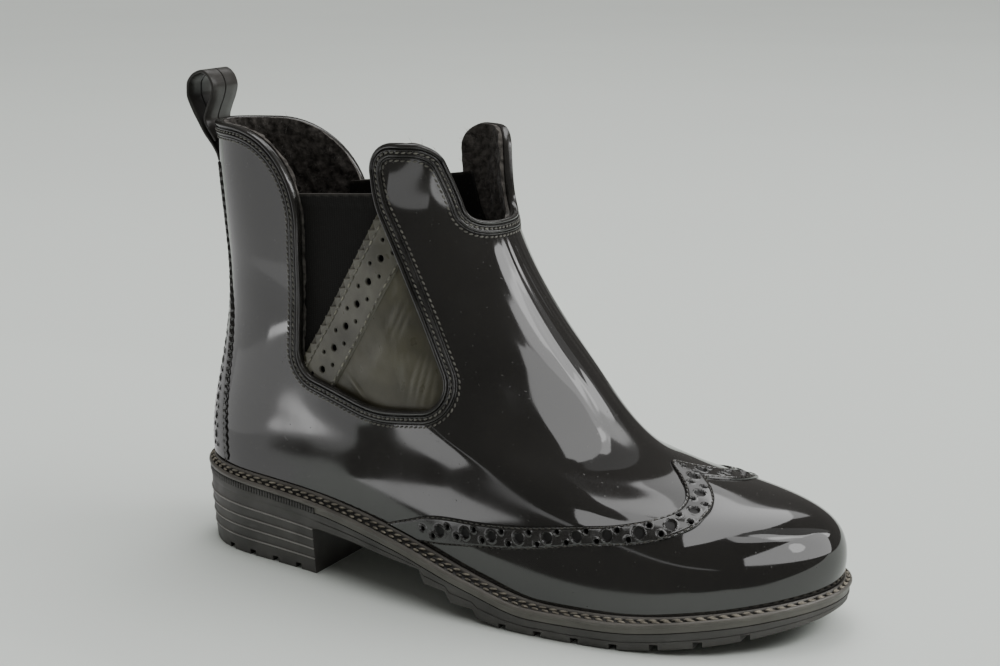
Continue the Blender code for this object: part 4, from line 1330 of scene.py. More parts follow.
def creases(face):
    """Height of the panel's creases, in millimetres."""
    total = np.zeros(len(face))
    for crease in PANEL_CREASES:
        ahead = unit(np.array([crease.dx, crease.dz]))
        x, z = face[:, 0] - crease.x, face[:, 2] - crease.z
        along = x * ahead[0] + z * ahead[1]
        aside = x * ahead[1] - z * ahead[0]
        total += crease.height * np.exp(-(along / crease.length) ** 2 - (aside / crease.width) ** 2)
    return total


def panel_relief(face):
    """Soft creases and hollows of the panel, in millimetres."""
    return lumps(face, 16.0, seed=21) * 0.12 + creases(face)


def under_gore_top(face):
    """Height of points over the gore's top edge, less than 0 under it."""
    return face[:, 2] - gore_top(face[:, 0])


def web_top(face):
    """Outer offset of the elastic, a little thicker in its hem."""
    return BEHIND_WALL - PANEL_THICK - GAP + HEM_RISE * ease(*HEM_FOOT, under_gore_top(face))


def panel_top(face):
    """Outer offset of the olive panel."""
    return BEHIND_WALL + panel_relief(face)


def make_gores(sizes, colours):
    web = inside_all([gore_outline(GORE_UNDER)])
    panel = inside_all([gore_outline(PANEL_UNDER), slanted_band(REACH)])
    elastic = shared_material(elastic_material, colours.elastic)
    olive = shared_material(panel_material, "boot_olive_panel", colours.olive)
    pinked = shared_material(panel_material, "boot_pinked_strip", colours.pinked)
    thread = shared_material(stitch_material, "boot_panel_thread", colours.panel_thread, 0.55)
    for foot_side, side in (("lateral", 1), ("medial", -1)):
        name = f"gore_web_{foot_side}"
        mesh, face = patch_shell(name, web, web_top, GORE_THICK, WEB_COLUMNS, side)
        put_on_both(mesh, "hem", ease(*HEM_EDGE, under_gore_top(face)))
        add_piece(name, mesh, [f"gore_{foot_side}"], elastic)

        name = f"panel_leather_{foot_side}"
        mesh, face = patch_shell(name, panel, panel_top, PANEL_THICK, PANEL_COLUMNS, side)
        # Paler on the ridges of the creases
        put_on_both(mesh, "rubbed", np.clip(creases(face) * 0.9 - 0.12, 0, 0.6))
        add_piece(name, mesh, [f"gore_panel_{foot_side}"], olive)

        make_pinked_strip(foot_side, side, BEHIND_WALL + GAP, pinked, thread, sizes)


def find_uv(x, z, side):
    """The (u, v) of points given from the side, on the outer (1) or inner (-1) face, by Newton steps."""
    u, v = (np.full(np.shape(x), start) for start in SIDE_START)
    leap_u, leap_v = NEWTON_LEAP
    for _ in range(NEWTON_STEPS):
        away = np.stack([x, z], axis=-1) - from_side(u if side > 0 else TURN - u, v)
        along_u, along_v = tangents(u if side > 0 else TURN - u, v)
        along_u = along_u * side
        a, b = along_u[..., 0], along_v[..., 0]
        c, d = along_u[..., 2], along_v[..., 2]
        det = a * d - b * c
        u = np.clip(u + np.clip((d * away[..., 0] - b * away[..., 1]) / det, -leap_u, leap_u), *SIDE_REACH)
        v = np.clip(v + np.clip((a * away[..., 1] - c * away[..., 0]) / det, -leap_v, leap_v), 0, TOP_RING)
    return (u if side > 0 else TURN - u), v


def teeth(along, pitch):
    """Edge of a pinked strip: 1 at the points of its teeth, 0 in the notches between."""
    return 1 - np.abs((along / pitch) % 1 * 2 - 1)


# A perforation: its place on the strip, and how dark the painted shade inside it is
Hole = namedtuple("Hole", "along across radius dark")


def pits(points, middles, holes):
    """How much of each point lies in a hole, under a hole's painted shade and in the raised rim round it, each from 0
    to 1.
    """
    inside, dark, rim = (np.zeros(points.shape[:-1]) for _ in range(3))
    for middle, hole in zip(middles, holes):
        distance = np.linalg.norm(points - middle, axis=-1)
        share = 1 - ease(hole.radius - PIT_SOFT, hole.radius + PIT_SOFT, distance)
        inside = np.maximum(inside, share)
        dark = np.maximum(dark, share * hole.dark)
        rim = np.maximum(rim, np.exp(-((distance - hole.radius - PIT_RIM) / PIT_RIM_WIDTH) ** 2))
    return inside, dark, rim


def strip_mesh(name, u, v, height, buried):
    """A closed strip on the upper: a height field over a grid of (u, v), and a flat back under its face."""
    high, wide = u.shape
    top = offset_surface(u, v, height).reshape(-1, 3)
    left = offset_surface(u[:, 0], v[:, 0], np.full(high, buried))
    right = offset_surface(u[:, -1], v[:, -1], np.full(high, buried))
    points = np.concatenate([top, left, right])
    faces = grid_faces(high, wide)
    first_left, first_right = high * wide, high * wide + high
    for i in range(high - 1):
        a, b = i * wide, (i + 1) * wide
        faces.append((a, b, first_left + i + 1, first_left + i))
        faces.append((a + wide - 1, first_right + i, first_right + i + 1, b + wide - 1))
        faces.append((first_left + i, first_left + i + 1, first_right + i + 1, first_right + i))
    faces.append((*range(wide), first_right, first_left))
    faces.append((*range((high - 1) * wide, high * wide), first_right + high - 1, first_left + high - 1))
    mesh = new_mesh(name, points, faces)
    turn_faces_out(mesh, merge=0.0)
    return mesh


# Perforations of the pinked strip: a row of large holes with a pair of small ones between each two
STRIP_HOLES = [hole for step in range(-1, 7) for hole in (
    Hole(12.3 + HOLE_PITCH * step, 10.8, 1.35, 1.0),
    Hole(17.3 + HOLE_PITCH * step, 7.7, 0.72, 1.0),
    Hole(18.6 + HOLE_PITCH * step, 13.9, 0.72, 1.0),
)]
STRIP_STITCHES = (3.8, 17.9)
TOOTH_DEPTH = 2.5


def make_pinked_strip(foot_side, side, bottom, material, thread, sizes):
    """The perforated strip along the slanted edge of the panel, with its pinked edge and two rows of stitches."""
    top, foot = np.array(PINKED_TOP), np.array(PINKED_FOOT)
    length = float(np.linalg.norm(foot - top))
    ahead = unit(foot - top)
    aside = np.array([-ahead[1], ahead[0]])
    shown = gore_outline(-STRIP_SIDE_GAP)

    def flat(along, across):
        return top + np.asarray(along)[..., None] * ahead + np.asarray(across)[..., None] * aside

    def find(along, across):
        places = flat(along, across)
        return find_uv(places[..., 0], places[..., 1], side)

    # Each crosswise line of the strip is trimmed to the gore opening
    before, past = STRIP_OVERRUN
    alongs = np.arange(-before, length + past, STRIP_STEP)
    tries = np.linspace(0, GORE_STRIP_WIDTH, STRIP_TRIES)
    along, across = np.meshgrid(alongs, tries, indexing="ij")
    open_here = (side_distance(flat(along, across).reshape(-1, 2), shown) < 0).reshape(along.shape)
    open_here &= across >= TOOTH_DEPTH * (1 - teeth(along, sizes.pink_pitch / MM))
    rows = [k for k in range(len(alongs)) if open_here[k].sum() > 3]
    near = np.array([tries[open_here[k]].min() for k in rows])
    far = np.array([tries[open_here[k]].max() for k in rows])
    share = np.linspace(0, 1, STRIP_COLUMNS)
    along = np.repeat(alongs[rows][:, None], len(share), axis=1)
    across = near[:, None] + (far - near)[:, None] * share
    u, v = find(along, across)
    middles = surface(*find(column(STRIP_HOLES, "along"), column(STRIP_HOLES, "across")))
    inside, dark, rim = pits(surface(u, v), middles, STRIP_HOLES)
    edge = across - near[:, None]
    height = bottom + STRIP_THICK + STRIP_EDGE * ease(0, 0.5, edge) + STRIP_RIM * rim - PIT_DEPTH * inside
    height = height - 1.0 * ease(GORE_STRIP_WIDTH - 0.7, GORE_STRIP_WIDTH, across)
    for place in STRIP_STITCHES:
        height = height - STITCH_GROOVE * np.exp(-((across - place) / 0.5) ** 2)
    name = f"pinked_strip_{foot_side}"
    mesh = strip_mesh(name, u, v, height, bottom - STRIP_BURIED)
    # The holes' dark share becomes painted shade in the finish
    put_attribute(mesh, "pit", np.concatenate([dark.ravel(), np.zeros(2 * len(rows))]))
    add_piece(name, mesh, [f"gore_strip_{foot_side}"], material, sharp=55)

    lines = []
    for place in STRIP_STITCHES:
        here = [k for k in range(len(rows)) if near[k] + 0.3 < place < far[k] - 0.3]
        lines.append(face_row(*find(alongs[rows][here], place), bottom + STRIP_STITCH_RISE))
    stitch_piece(f"panel_stitches_{foot_side}", lines, PANEL_STITCH, thread, PANEL_STITCH_PITCH)


# The trims on the upper


class BandPath:
    """A trim band laid along its two edge lines: (along, across) in millimetres from its middle line."""

    def __init__(self, borders):
        share = np.linspace(0, 1, len(borders))
        fine = np.linspace(0, 1, 1500)
        near_u, near_v, far_u, far_v = (smooth(fine, share, column(borders, name)) for name in Border._fields)
        middle = surface((near_u + far_u) / 2, (near_v + far_v) / 2)
        run = run_length(middle)
        self.length = run[-1]
        self.along = np.linspace(0, self.length, int(self.length / BAND_SPACING))
        self.near = np.stack([np.interp(self.along, run, part) for part in (near_u, near_v)])
        self.far = np.stack([np.interp(self.along, run, part) for part in (far_u, far_v)])
        self.width = np.linalg.norm(surface(*self.near) - surface(*self.far), axis=1)

    def uv(self, across):
        """The (u, v) of points this far from the middle line, one row for each place along the band."""
        share = 0.5 + across / self.width[:, None]
        u = self.near[0][:, None] + (self.far[0] - self.near[0])[:, None] * share
        v = self.near[1][:, None] + (self.far[1] - self.near[1])[:, None] * share
        return u, v

    def spot(self, along, across):
        """The (u, v) of one place on the band."""
        near, far, width = (np.array([np.interp(along, self.along, row) for row in np.atleast_2d(part)])
                            for part in (self.near, self.far, self.width))
        return near + (far - near) * (0.5 + across / width)


def mirrored(borders):
    """The same edges on the inner side of the foot."""
    return [Border(TURN - row.u, row.v, TURN - row.other_u, row.other_v) for row in borders]


def band_piece(name, path, holes, node, colours, sizes, notch=0.0, wide=34, stitch_in=0.8):
    """A moulded trim band: raised edges, stitch grooves beside them and perforations, with its stitch rows."""
    half = path.width[:, None] / 2
    trim = notch * (1 - teeth(path.along, sizes.tooth_pitch / MM))[:, None]
    share = np.linspace(-1, 1, wide)
    across = share * (half - trim)
    u, v = path.uv(across)
    places = np.array([path.spot(hole.along, hole.across) for hole in holes])
    inside, dark, rim = pits(surface(u, v), surface(places[:, 0], places[:, 1]), holes)
    edge = half - trim - np.abs(across)
    groove = STITCH_GROOVE * np.exp(-((edge - stitch_in) / 0.40) ** 2)
    height = GAP + BAND_EDGE + BAND_THICK * ease(0, 0.4, edge) - groove
    height = height + BAND_RIM * rim - PIT_DEPTH * inside - BAND_DARK_DEPTH * dark
    mesh = strip_mesh(name, u, v, height, BAND_BURIED)
    # The holes' dark share becomes painted shade in the finish
    put_attribute(mesh, "pit", np.concatenate([dark.ravel(), np.zeros(2 * len(path.along))]))
    add_piece(name, mesh, [node], shared_material(trim_material, colours.trim), sharp=55)
    rows = []
    for side in (-1, 1):
        u, v = path.uv(side * (half - notch - stitch_in))
        rows.append(face_row(u[:, 0], v[:, 0], GAP + BAND_STITCH_RISE))
    # The trim stitches are moulded in the trim rubber; their lighter colour is a painted highlight
    thread = shared_material(stitch_material, "boot_trim_thread", colours.trim_thread, 0.4)
    stitch_piece(name + "_stitches", rows, TRIM_STITCH, thread, sizes.trim_stitch_pitch / MM)


def wing_holes(length):
    """Large rings along the middle of the wing strip, with a pair of small holes between each two."""
    holes = []
    count = 2 * round(length / 2 / HOLE_PITCH)
    step = length / count
    for k in range(count):
        place = (k + 0.5) * step
        if min(place, length - place) > WING_RING_END:
            holes.append(Hole(place, 0.0, 1.95, 0.65))
    for k in range(1, count):
        place = k * step
        if min(place, length - place) > WING_PAIR_END:
            holes += [Hole(place, aside, 0.9, 1.0) for aside in (-WING_PAIR, WING_PAIR)]
    return holes


def back_holes(length):
    """A row of large holes up the back strip, with pairs of small ones between."""
    holes = []
    for k in range(int(length / BACK_HOLE_PITCH)):
        holes.append(Hole(5.0 + BACK_HOLE_PITCH * k, 0.0, 1.35, 1.0))
        holes += [Hole(8.9 + BACK_HOLE_PITCH * k, aside, 0.7, 1.0) for aside in (-BACK_PAIR, BACK_PAIR)]
    return holes


def make_trims(sizes, colours):
    wing = BandPath(WING_BAND + mirrored(WING_BAND)[-2::-1])
    band_piece("wing_trim", wing, wing_holes(wing.length), "wing_strip", colours, sizes)
    for foot_side, borders in (("lateral", BACK_BAND), ("medial", mirrored(BACK_BAND))):
        path = BandPath(borders)
        band_piece(f"back_trim_{foot_side}", path, back_holes(path.length), f"back_strip_{foot_side}", colours, sizes,
                   notch=0.9, wide=30, stitch_in=0.9)


# The welt, sole and footbed


def foot_line(u):
    """The feather line, where the upper meets the welt."""
    return surface(u, np.zeros_like(u))


def seat_height(x):
    """Height of the feather line at this x."""
    line = foot_line(np.linspace(0, math.pi, 721))
    return np.interp(x, line[:, 0], line[:, 2])


def outline(u, out):
    """The feather line moved outwards by out millimetres, seen from above."""
    along = foot_line(u + 0.01) - foot_line(u - 0.01)
    outwards = unit(np.stack([along[:, 1], -along[:, 0]], axis=1))
    return foot_line(u)[:, :2] + outwards * np.reshape(out, (-1, 1))


def ledge(u):
    """How far the welt's rim stands out from the upper."""
    return LEDGE_ENDS + (LEDGE_SIDES - LEDGE_ENDS) * np.sin(u) ** 2


def even_stations(spacing):
    """Angles once round the feather line, this many millimetres apart."""
    u = np.linspace(0, TURN, 2881)
    run = run_length(foot_line(u))
    return np.interp(np.linspace(0, run[-1], int(run[-1] / spacing), endpoint=False), run, u)


def seat_ring(u, share, out, rise):
    """Points round the foot: a share of the ledge and more millimetres out, and over the welt's slope there."""
    flat = outline(u, share * ledge(u) + out)
    slope = seat_height(flat[:, 0]) * (1 - share) + height_on(RIM, flat[:, 0]) * share
    return np.column_stack([flat, slope + rise])


def upright(count):
    """The direction up for each point of a row."""
    return np.tile((0.0, 0.0, 1.0), (count, 1))


def make_welt(sizes, colours):
    us = even_stations(WELT_SPACING)
    mesh = tube_mesh("welt_rim", [seat_ring(us, *edge) for edge in WELT_SECTION], closed_columns=True)
    # The rope bed is marked for painted shade under the stitches
    shaded_bed = [ROPE_BED[0] < edge.ledge < ROPE_BED[1] for edge in WELT_SECTION]
    put_attribute(mesh, "bed", np.repeat(shaded_bed, len(us)))
    turn_faces_out(mesh, merge=0.0)
    rubber = shared_material(sole_material, "boot_welt", colours.welt, 0.42)
    add_piece("welt_rim", mesh, ["welt"], rubber, sharp=60)
    thread = shared_material(stitch_material, "boot_welt_thread", colours.welt_thread, 0.5)
    for k, edge in enumerate(ROPE_ROWS):
        row = Row(seat_ring(us, *edge), upright(len(us)), True)
        stitch_piece(f"welt_rope_{k + 1}", [row], ROPE_STITCH, thread, sizes.rope_pitch / MM,
                     slant=(-1) ** k * ROPE_SLANT)


def station_at(x):
    """The angle round the outer side at which the feather line reaches this x."""
    u = np.linspace(0, math.pi, 1441)
    return float(np.interp(x, foot_line(u)[:, 0], u))


def half_stations(last, count, xs=()):
    """Angles from the back of the heel to the last one, with one at each x of the list."""
    wanted = [station_at(x) for x in xs]
    spread_out = [u for u in np.linspace(0, last, count) if all(abs(u - known) > STATION_GAP for known in wanted)]
    return np.array(sorted(spread_out + wanted))


def underside(u):
    return np.interp(foot_line(u)[:, 0], column(UNDERSIDE, "x"), column(UNDERSIDE, "z"))


Level = namedtuple("Level", "out height")


def level_ring(u, level):
    """One outline of a sole piece: out(u) from the feather line, at height(u, x)."""
    flat = outline(u, level.out(u))
    return np.column_stack([flat, level.height(u, flat[:, 0])])


def sole_loft(name, us, levels):
    """A solid between outlines one over another, lowest first, for angles from the back forwards."""
    sides = [[level_ring(side_us, level) for level in levels] for side_us in (us, -us)]
    points = np.concatenate([ring for side in sides for ring in side])
    count, deep = len(us), len(levels)

    def index(side, level, i):
        return (side * deep + level) * count + i

    faces = []
    for i in range(count - 1):
        for level in range(deep - 1):
            for side in (0, 1):
                faces.append((index(side, level, i), index(side, level, i + 1),
                              index(side, level + 1, i + 1), index(side, level + 1, i)))
        for level in (0, deep - 1):
            faces.append((index(0, level, i), index(0, level, i + 1),
                          index(1, level, i + 1), index(1, level, i)))
    if not math.isclose(us[-1], math.pi):
        for level in range(deep - 1):
            faces.append((index(0, level, count - 1), index(0, level + 1, count - 1),
                          index(1, level + 1, count - 1), index(1, level, count - 1)))
    mesh = new_mesh(name, points, faces)
    turn_faces_out(mesh)
    return mesh


def cut_grooves(mesh, xs):
    """Cross grooves cut up into the tread, each from the height of the tread there."""
    piece = put_in_scene("groove_work", mesh)
    work = bmesh.new()
    for x in xs:
        tread = 0.0 if x < HEEL_BREAST_X else np.interp(x, column(UNDERSIDE, "x"), column(UNDERSIDE, "z"))
        low = metres((x - GROOVE_WIDTH / 2, -REACH, FAR_DOWN))
        high = metres((x + GROOVE_WIDTH / 2, REACH, tread + GROOVE_DEPTH))
        made = bmesh.ops.create_cube(work, size=1)["verts"]
        bmesh.ops.scale(work, vec=high - low, verts=made)
        bmesh.ops.translate(work, vec=(low + high) / 2, verts=made)
    cutter_mesh = bpy.data.meshes.new("grooves")
    work.to_mesh(cutter_mesh)
    work.free()
    cutter = put_in_scene("grooves", cutter_mesh)
    boolean = piece.modifiers.new("Grooves", "BOOLEAN")
    boolean.operation = "DIFFERENCE"
    boolean.solver = "EXACT"
    boolean.object = cutter
    bpy.context.view_layer.update()
    made = bpy.data.meshes.new_from_object(piece.evaluated_get(bpy.context.evaluated_depsgraph_get()))
    for old in (piece, cutter):
        bpy.data.objects.remove(old)
    return made


def make_sole(sizes, colours):
    top = -GAP - WELT_THICK - GAP
    rubber = shared_material(sole_material, "boot_sole", colours.sole, 0.58)

    def side_level(row):
        def height(u, x):
            return underside(u) * (1 - row.share) + (height_on(RIM, x) + top) * row.share

        def out(u):
            on_heel = foot_line(u)[:, 0] < HEEL_BREAST_X
            return ledge(u) - np.where(on_heel, np.minimum(row.inset, HEEL_SEAT_INSET), row.inset)

        return Level(out, height)

    def bed_level(rise):
        return Level(lambda u: np.full_like(u, -WELT_UNDER - GAP), lambda u, x: seat_height(x) + rise)

    levels = [side_level(row) for row in SOLE_SIDE] + [bed_level(top), bed_level(-GAP)]
    steps = [row.x for row in UNDERSIDE if HEEL_BREAST_X <= row.x <= LUGS_END_X]
    mesh = sole_loft("outsole_tread", half_stations(math.pi, SOLE_STATIONS, steps), levels)
    mesh = cut_grooves(mesh, FOREPART_GROOVES)
    add_piece("outsole_tread", mesh, ["outsole"], rubber, sharp=30)

    rows = []
    for low, high in zip(HEEL_TOPS, HEEL_TOPS[1:]):
        rows += [Side(low + (high - low) * row.share, row.inset) for row in HEEL_LAYER]
    rows.append(Side(1.0, HEEL_LAYER[0].inset))

    def layer_level(row):
        def out(u):
            return ledge(u) - row.inset - HEEL_TAPER * (1 - row.share)

        return Level(out, lambda u, x: (underside(u) - GAP) * row.share)

    us = half_stations(station_at(HEEL_BREAST_X), HEEL_STATIONS)
    mesh = sole_loft("heel_stack", us, [layer_level(row) for row in rows])
    mesh = cut_grooves(mesh, HEEL_GROOVES)
    add_piece("heel_stack", mesh, ["heel"], rubber, sharp=30)
    # The raised lines' pale colour is a painted highlight where light catches the layers' lips
    edge = shared_material(sole_material, "boot_sole_edge", colours.sole_edge, 0.5)
    round_heel = np.concatenate([-us[:0:-1], us])
    tops = [layer_level(Side(share + HEEL_LINE_LIFT, HEEL_LINE_INSET)) for share in HEEL_TOPS[1:]]
    lines = [Row(level_ring(round_heel, top), upright(len(round_heel)), False) for top in tops]
    cord_piece("heel_lines", lines, HEEL_LINE_RADIUS, edge)
    make_heel_ribs(sizes, rubber)


def make_heel_ribs(sizes, rubber):
    """Upright ribs on a band round the heel seat, under the welt, as far as the breast. The band is painted dark as
    shade between the ribs.
    """
    last = station_at(HEEL_BREAST_X + 1)
    us = np.linspace(-last, last, RIB_STATIONS)
    low, high = RIB_BAND
    section = [(RIB_BAND_FACE, low), (RIB_BAND_FACE, high), (RIB_BAND_BACK, high), (RIB_BAND_BACK, low)]
    mesh = tube_mesh("heel_rib_band", [seat_ring(us, 1.0, -inset, rise) for inset, rise in section])
    close_ends(mesh)
    # The band's near-black colour is painted shade between the ribs and under the welt
    dark = shared_material(sole_material, "boot_rib_band", RIB_BAND_SHADE_COLOUR, 0.6)
    add_piece("heel_rib_band", mesh, (), dark)
    points = seat_ring(us, 1.0, -RIB_BAND_FACE, (low + high) / 2)
    away = unit(np.column_stack([points[:, :2] - seat_ring(us, 1.0, -2.0, low)[:, :2], np.zeros(len(us))]))
    stitch_piece("heel_ribs", [Row(points, away, False)], (RIB_WIDTH, high - low, RIB_HEIGHT), rubber,
                 sizes.rib_pitch / MM, square=True)


def make_footbed(sizes, colours):
    def section_level(edge):
        return Level(lambda u: np.full_like(u, edge.out), lambda u, x: seat_height(x) + edge.z)

    us = half_stations(math.pi, FOOTBED_STATIONS)
    mesh = sole_loft("footbed_felt", us, [section_level(edge) for edge in INSOLE_SECTION])
    felt = shared_material(fleece_material, "boot_footbed", colours.footbed)
    add_piece("footbed_felt", mesh, ["insole"], felt)


# The pull loop


def make_pull_loop(sizes, colours):
    """A ribbon up the back of the collar, round its loop and down inside, bent to the round of the shaft."""
    share = np.linspace(0, 1, len(LOOP_LINE))
    t = np.linspace(0, 1, LOOP_STATIONS)
    x, z, wrap = (smooth(t, share, column(LOOP_LINE, name)) for name in Ribbon._fields)
    ahead = unit(np.column_stack([np.gradient(x), np.gradient(z)]))
    side = np.column_stack([-ahead[:, 1], ahead[:, 0]])
    lower = [Profile(-row.across, -row.out) for row in RIBBON_SECTION][1:-1]
    lines = []
    for across, out in RIBBON_SECTION + lower:
        y = across * LOOP_WIDTH / 2
        bend = LOOP_WRAP_RADIUS - math.sqrt(LOOP_WRAP_RADIUS**2 - y * y)
        rise = out * LOOP_THICK / 2
        bent = x + wrap * bend + side[:, 0] * rise
        lines.append(np.column_stack([bent, np.full_like(x, y), z + side[:, 1] * rise]))
    mesh = tube_mesh("pull_ribbon", lines)
    close_ends(mesh)
    add_piece("pull_ribbon", mesh, ["pull_loop"], shared_material(ribbon_material, colours.ribbon),
              sharp=50)


# The stage

CAMERA_AT = (410.5, -582.1, 260.5)
CAMERA_BACK = (0.4651, -0.8530, 0.2368)
CAMERA_RIGHT = (0.8780, 0.4787, 0.0)
CAMERA_UP = (-0.1134, 0.2079, 0.9716)
LENS = 63.41

# Soft light cards round the boot: the point they stand round and their distance from it in metres, strength, and
# columns of azimuth (from the outer side towards the toe) with the lower and upper height over the floor, in degrees
Card = namedtuple("Card", "name centre distance strength columns")
BOOT_MIDDLE = (0.09, 0.0, 0.08)
INSTEP = (0.12, -0.01, 0.10)
VAMP = (0.152, -0.040, 0.047)
TOE = (0.195, -0.015, 0.045)
CARDS = [
    Card("card_right_near", INSTEP, 1.6, 2.3, [
        (55, 42.5, 50), (57, 41.5, 54), (60, 41.3, 58), (68, 41.6, 60), (72, 42.2, 58),
        (76, 42.2, 58), (80, 41.3, 59),
    ]),
    Card("card_right_high", INSTEP, 1.6, 3.2, [
        (80, 41.3, 59), (84, 40, 61), (88, 38.5, 62), (100, 38, 62), (104, 36.5, 59),
    ]),
    Card("card_right_core", INSTEP, 1.5, 6.0, [
        (81, 48, 49), (85, 46, 53), (93, 46, 53), (102, 45, 50), (108, 37, 42), (116, 33, 38), (126, 30, 34),
        (136, 25, 27),
    ]),
    Card("card_right_back", INSTEP, 1.6, 4.2, [
        (104, 36.5, 55), (107, 30, 51), (110, 26, 48), (114, 24.5, 46), (120, 23.5, 43), (126, 22.5, 41.5),
        (132, 21, 37), (136, 20.5, 31), (140, 21, 25),
    ]),
    Card("card_right_fade", INSTEP, 1.7, 0.45, [
        (64, 60, 68), (80, 59, 74), (100, 62, 77), (108, 49, 78), (120, 43, 78), (132, 37, 77), (140, 25, 75),
        (147, 22, 66),
    ]),
    Card("card_toe_top", TOE, 0.08, 2.9, [
        (12, 13, 88), (18, 20, 88), (24, 27, 88), (36, 41, 88), (48, 52, 88), (60, 57, 88), (72, 61, 88),
        (84, 64, 88), (110, 64, 88), (120, 62, 88), (132, 58, 88), (144, 53, 88), (156, 44, 88),
        (166, 30, 88), (174, 24, 88), (186, 30, 88), (196, 35, 88),
    ]),
    Card("card_toe_low", TOE, 0.08, 2.8, [
        (47, -8, 2), (52, -8, 6), (60, -8, 12), (72, -8, 21), (84, -8, 27), (96, -8, 31), (108, -8, 30),
        (116, -8, 28), (122, 6, 26), (127, 14, 22),
    ]),
    Card("card_toe_core", TOE, 0.078, 5.5, [(80, 6, 15), (84, 4, 22), (89, 6, 23), (93, 11, 19)]),
    Card("card_vamp", VAMP, 0.10, 2.4, [
        (-16, -3, 4), (-12, -3, 30), (-4, 0, 42), (4, 12, 45), (12, 26, 49), (20, 38, 55), (28, 48, 64), (36, 55, 76),
        (44, 58, 82), (60, 58, 83), (120, 58, 83),
    ]),
    Card("card_left_low", BOOT_MIDDLE, 0.33, 1.1, [(-82, -12, -4), (-50, -12, -4)]),
    Card("card_left_far", BOOT_MIDDLE, 1.6, 0.95, [(-97, -2.6, 7), (-48, -2.6, 7)]),
]
CARD_STEP = 2.0
CARD_ROWS = 9
NEAR_CARD = 0.5
ON_FLOOR = 0.01

# Flat light panels: height and corners in metres, and strength
Panel = namedtuple("Panel", "name z strength corners")
PANELS = [
    Panel("panel_above", 1.6, 2.8, [(-0.475, -0.22), (0.215, -0.22), (0.215, 1.0), (-0.475, 1.0)]),
    Panel("panel_beyond", 1.6, 1.5, [(-0.475, 1.0), (0.215, 1.0), (0.14, 2.8), (-0.475, 2.8)]),
    Panel("panel_floor", 0.002, 1.9, [(-0.085, -0.27), (0.015, -0.27), (0.015, -0.14), (-0.085, -0.14)]),
    Panel("panel_front", 0.002, 1.0, [(-0.16, -0.50), (0.46, -0.50), (0.46, -0.38), (-0.16, -0.38)]),
    Panel("panel_left", 0.002, 0.85, [
        (-1.2, -0.9), (-0.85, -0.72), (-0.5, -0.47), (-0.30, -0.33), (-0.215, -0.25), (-0.16, -0.19), (-0.10, -0.14),
        (-0.06, -0.10), (-0.06, 0.2), (-1.2, 0.2),
    ]),
]

# Small lamps low on the left: place in millimetres from the heel's back, radius and strength
Lamp = namedtuple("Lamp", "x y z radius strength")
LAMPS = table(
    Lamp, (-147, -184, 57, 7.0, 4.5), (-149, -186, 31, 6.0, 3.0), (-134, -197, 27, 5.0, 4.0),
    (-124, -199, 21, 5.5, 4.0), (-143, -198, 14, 5.0, 4.5),
)
LAMP_SIDES = 20

# Edge of the floor that shows in the gloss, in metres: the front beyond it is left out of reflections
FLOOR_REACH = 8.0
FLOOR_EDGE = [
    (-FLOOR_REACH, -6.0), (-0.85, -0.72), (-0.5, -0.47), (-0.30, -0.33), (-0.215, -0.25), (-0.16, -0.19),
    (-0.10, -0.15), (-0.026, -0.137), (0.062, -0.12), (0.143, -0.108), (0.21, -0.108), (0.252, -0.092),
    (0.28, -0.065), (0.328, -0.044), (0.56, 0.06), (FLOOR_REACH, 2.9),
]

# The sky as a wide sun: strength, spread, and the azimuth and height it comes from, in degrees
SUN_STRENGTH = 2.0
SUN_SPREAD = 95
SUN_FROM = (150, 72)
SENSOR_WIDTH = 36.0
FAR_CLIP = 50.0


def stage_mesh(name, points, material, faces=None):
    """A thing of the stage, of one face unless its faces are given."""
    mesh = bpy.data.meshes.new(name)
    mesh.from_pydata(points, [], faces or [tuple(range(len(points)))])
    mesh.materials.append(material)
    return put_in_scene(name, mesh)


def add_floor(name, corners, material):
    floor = stage_mesh(name, [(x, y, 0.0) for x, y in corners], material)
    return floor


def add_light_mesh(name, points, strength, lights=True, faces=None):
    """A glowing card of the stage, which the camera doesn't see. It lights the scene, or shows only in the gloss."""
    card = stage_mesh(name, points, light_material(name, strength), faces)
    card.visible_camera = False
    card.visible_shadow = False
    card.visible_diffuse = lights


def towards(azimuth, height):
    """Unit vectors at these angles, in degrees."""
    azimuth, height = np.radians(azimuth), np.radians(height)
    return np.stack([np.sin(azimuth) * np.cos(height), -np.cos(azimuth) * np.cos(height), np.sin(height)], axis=-1)


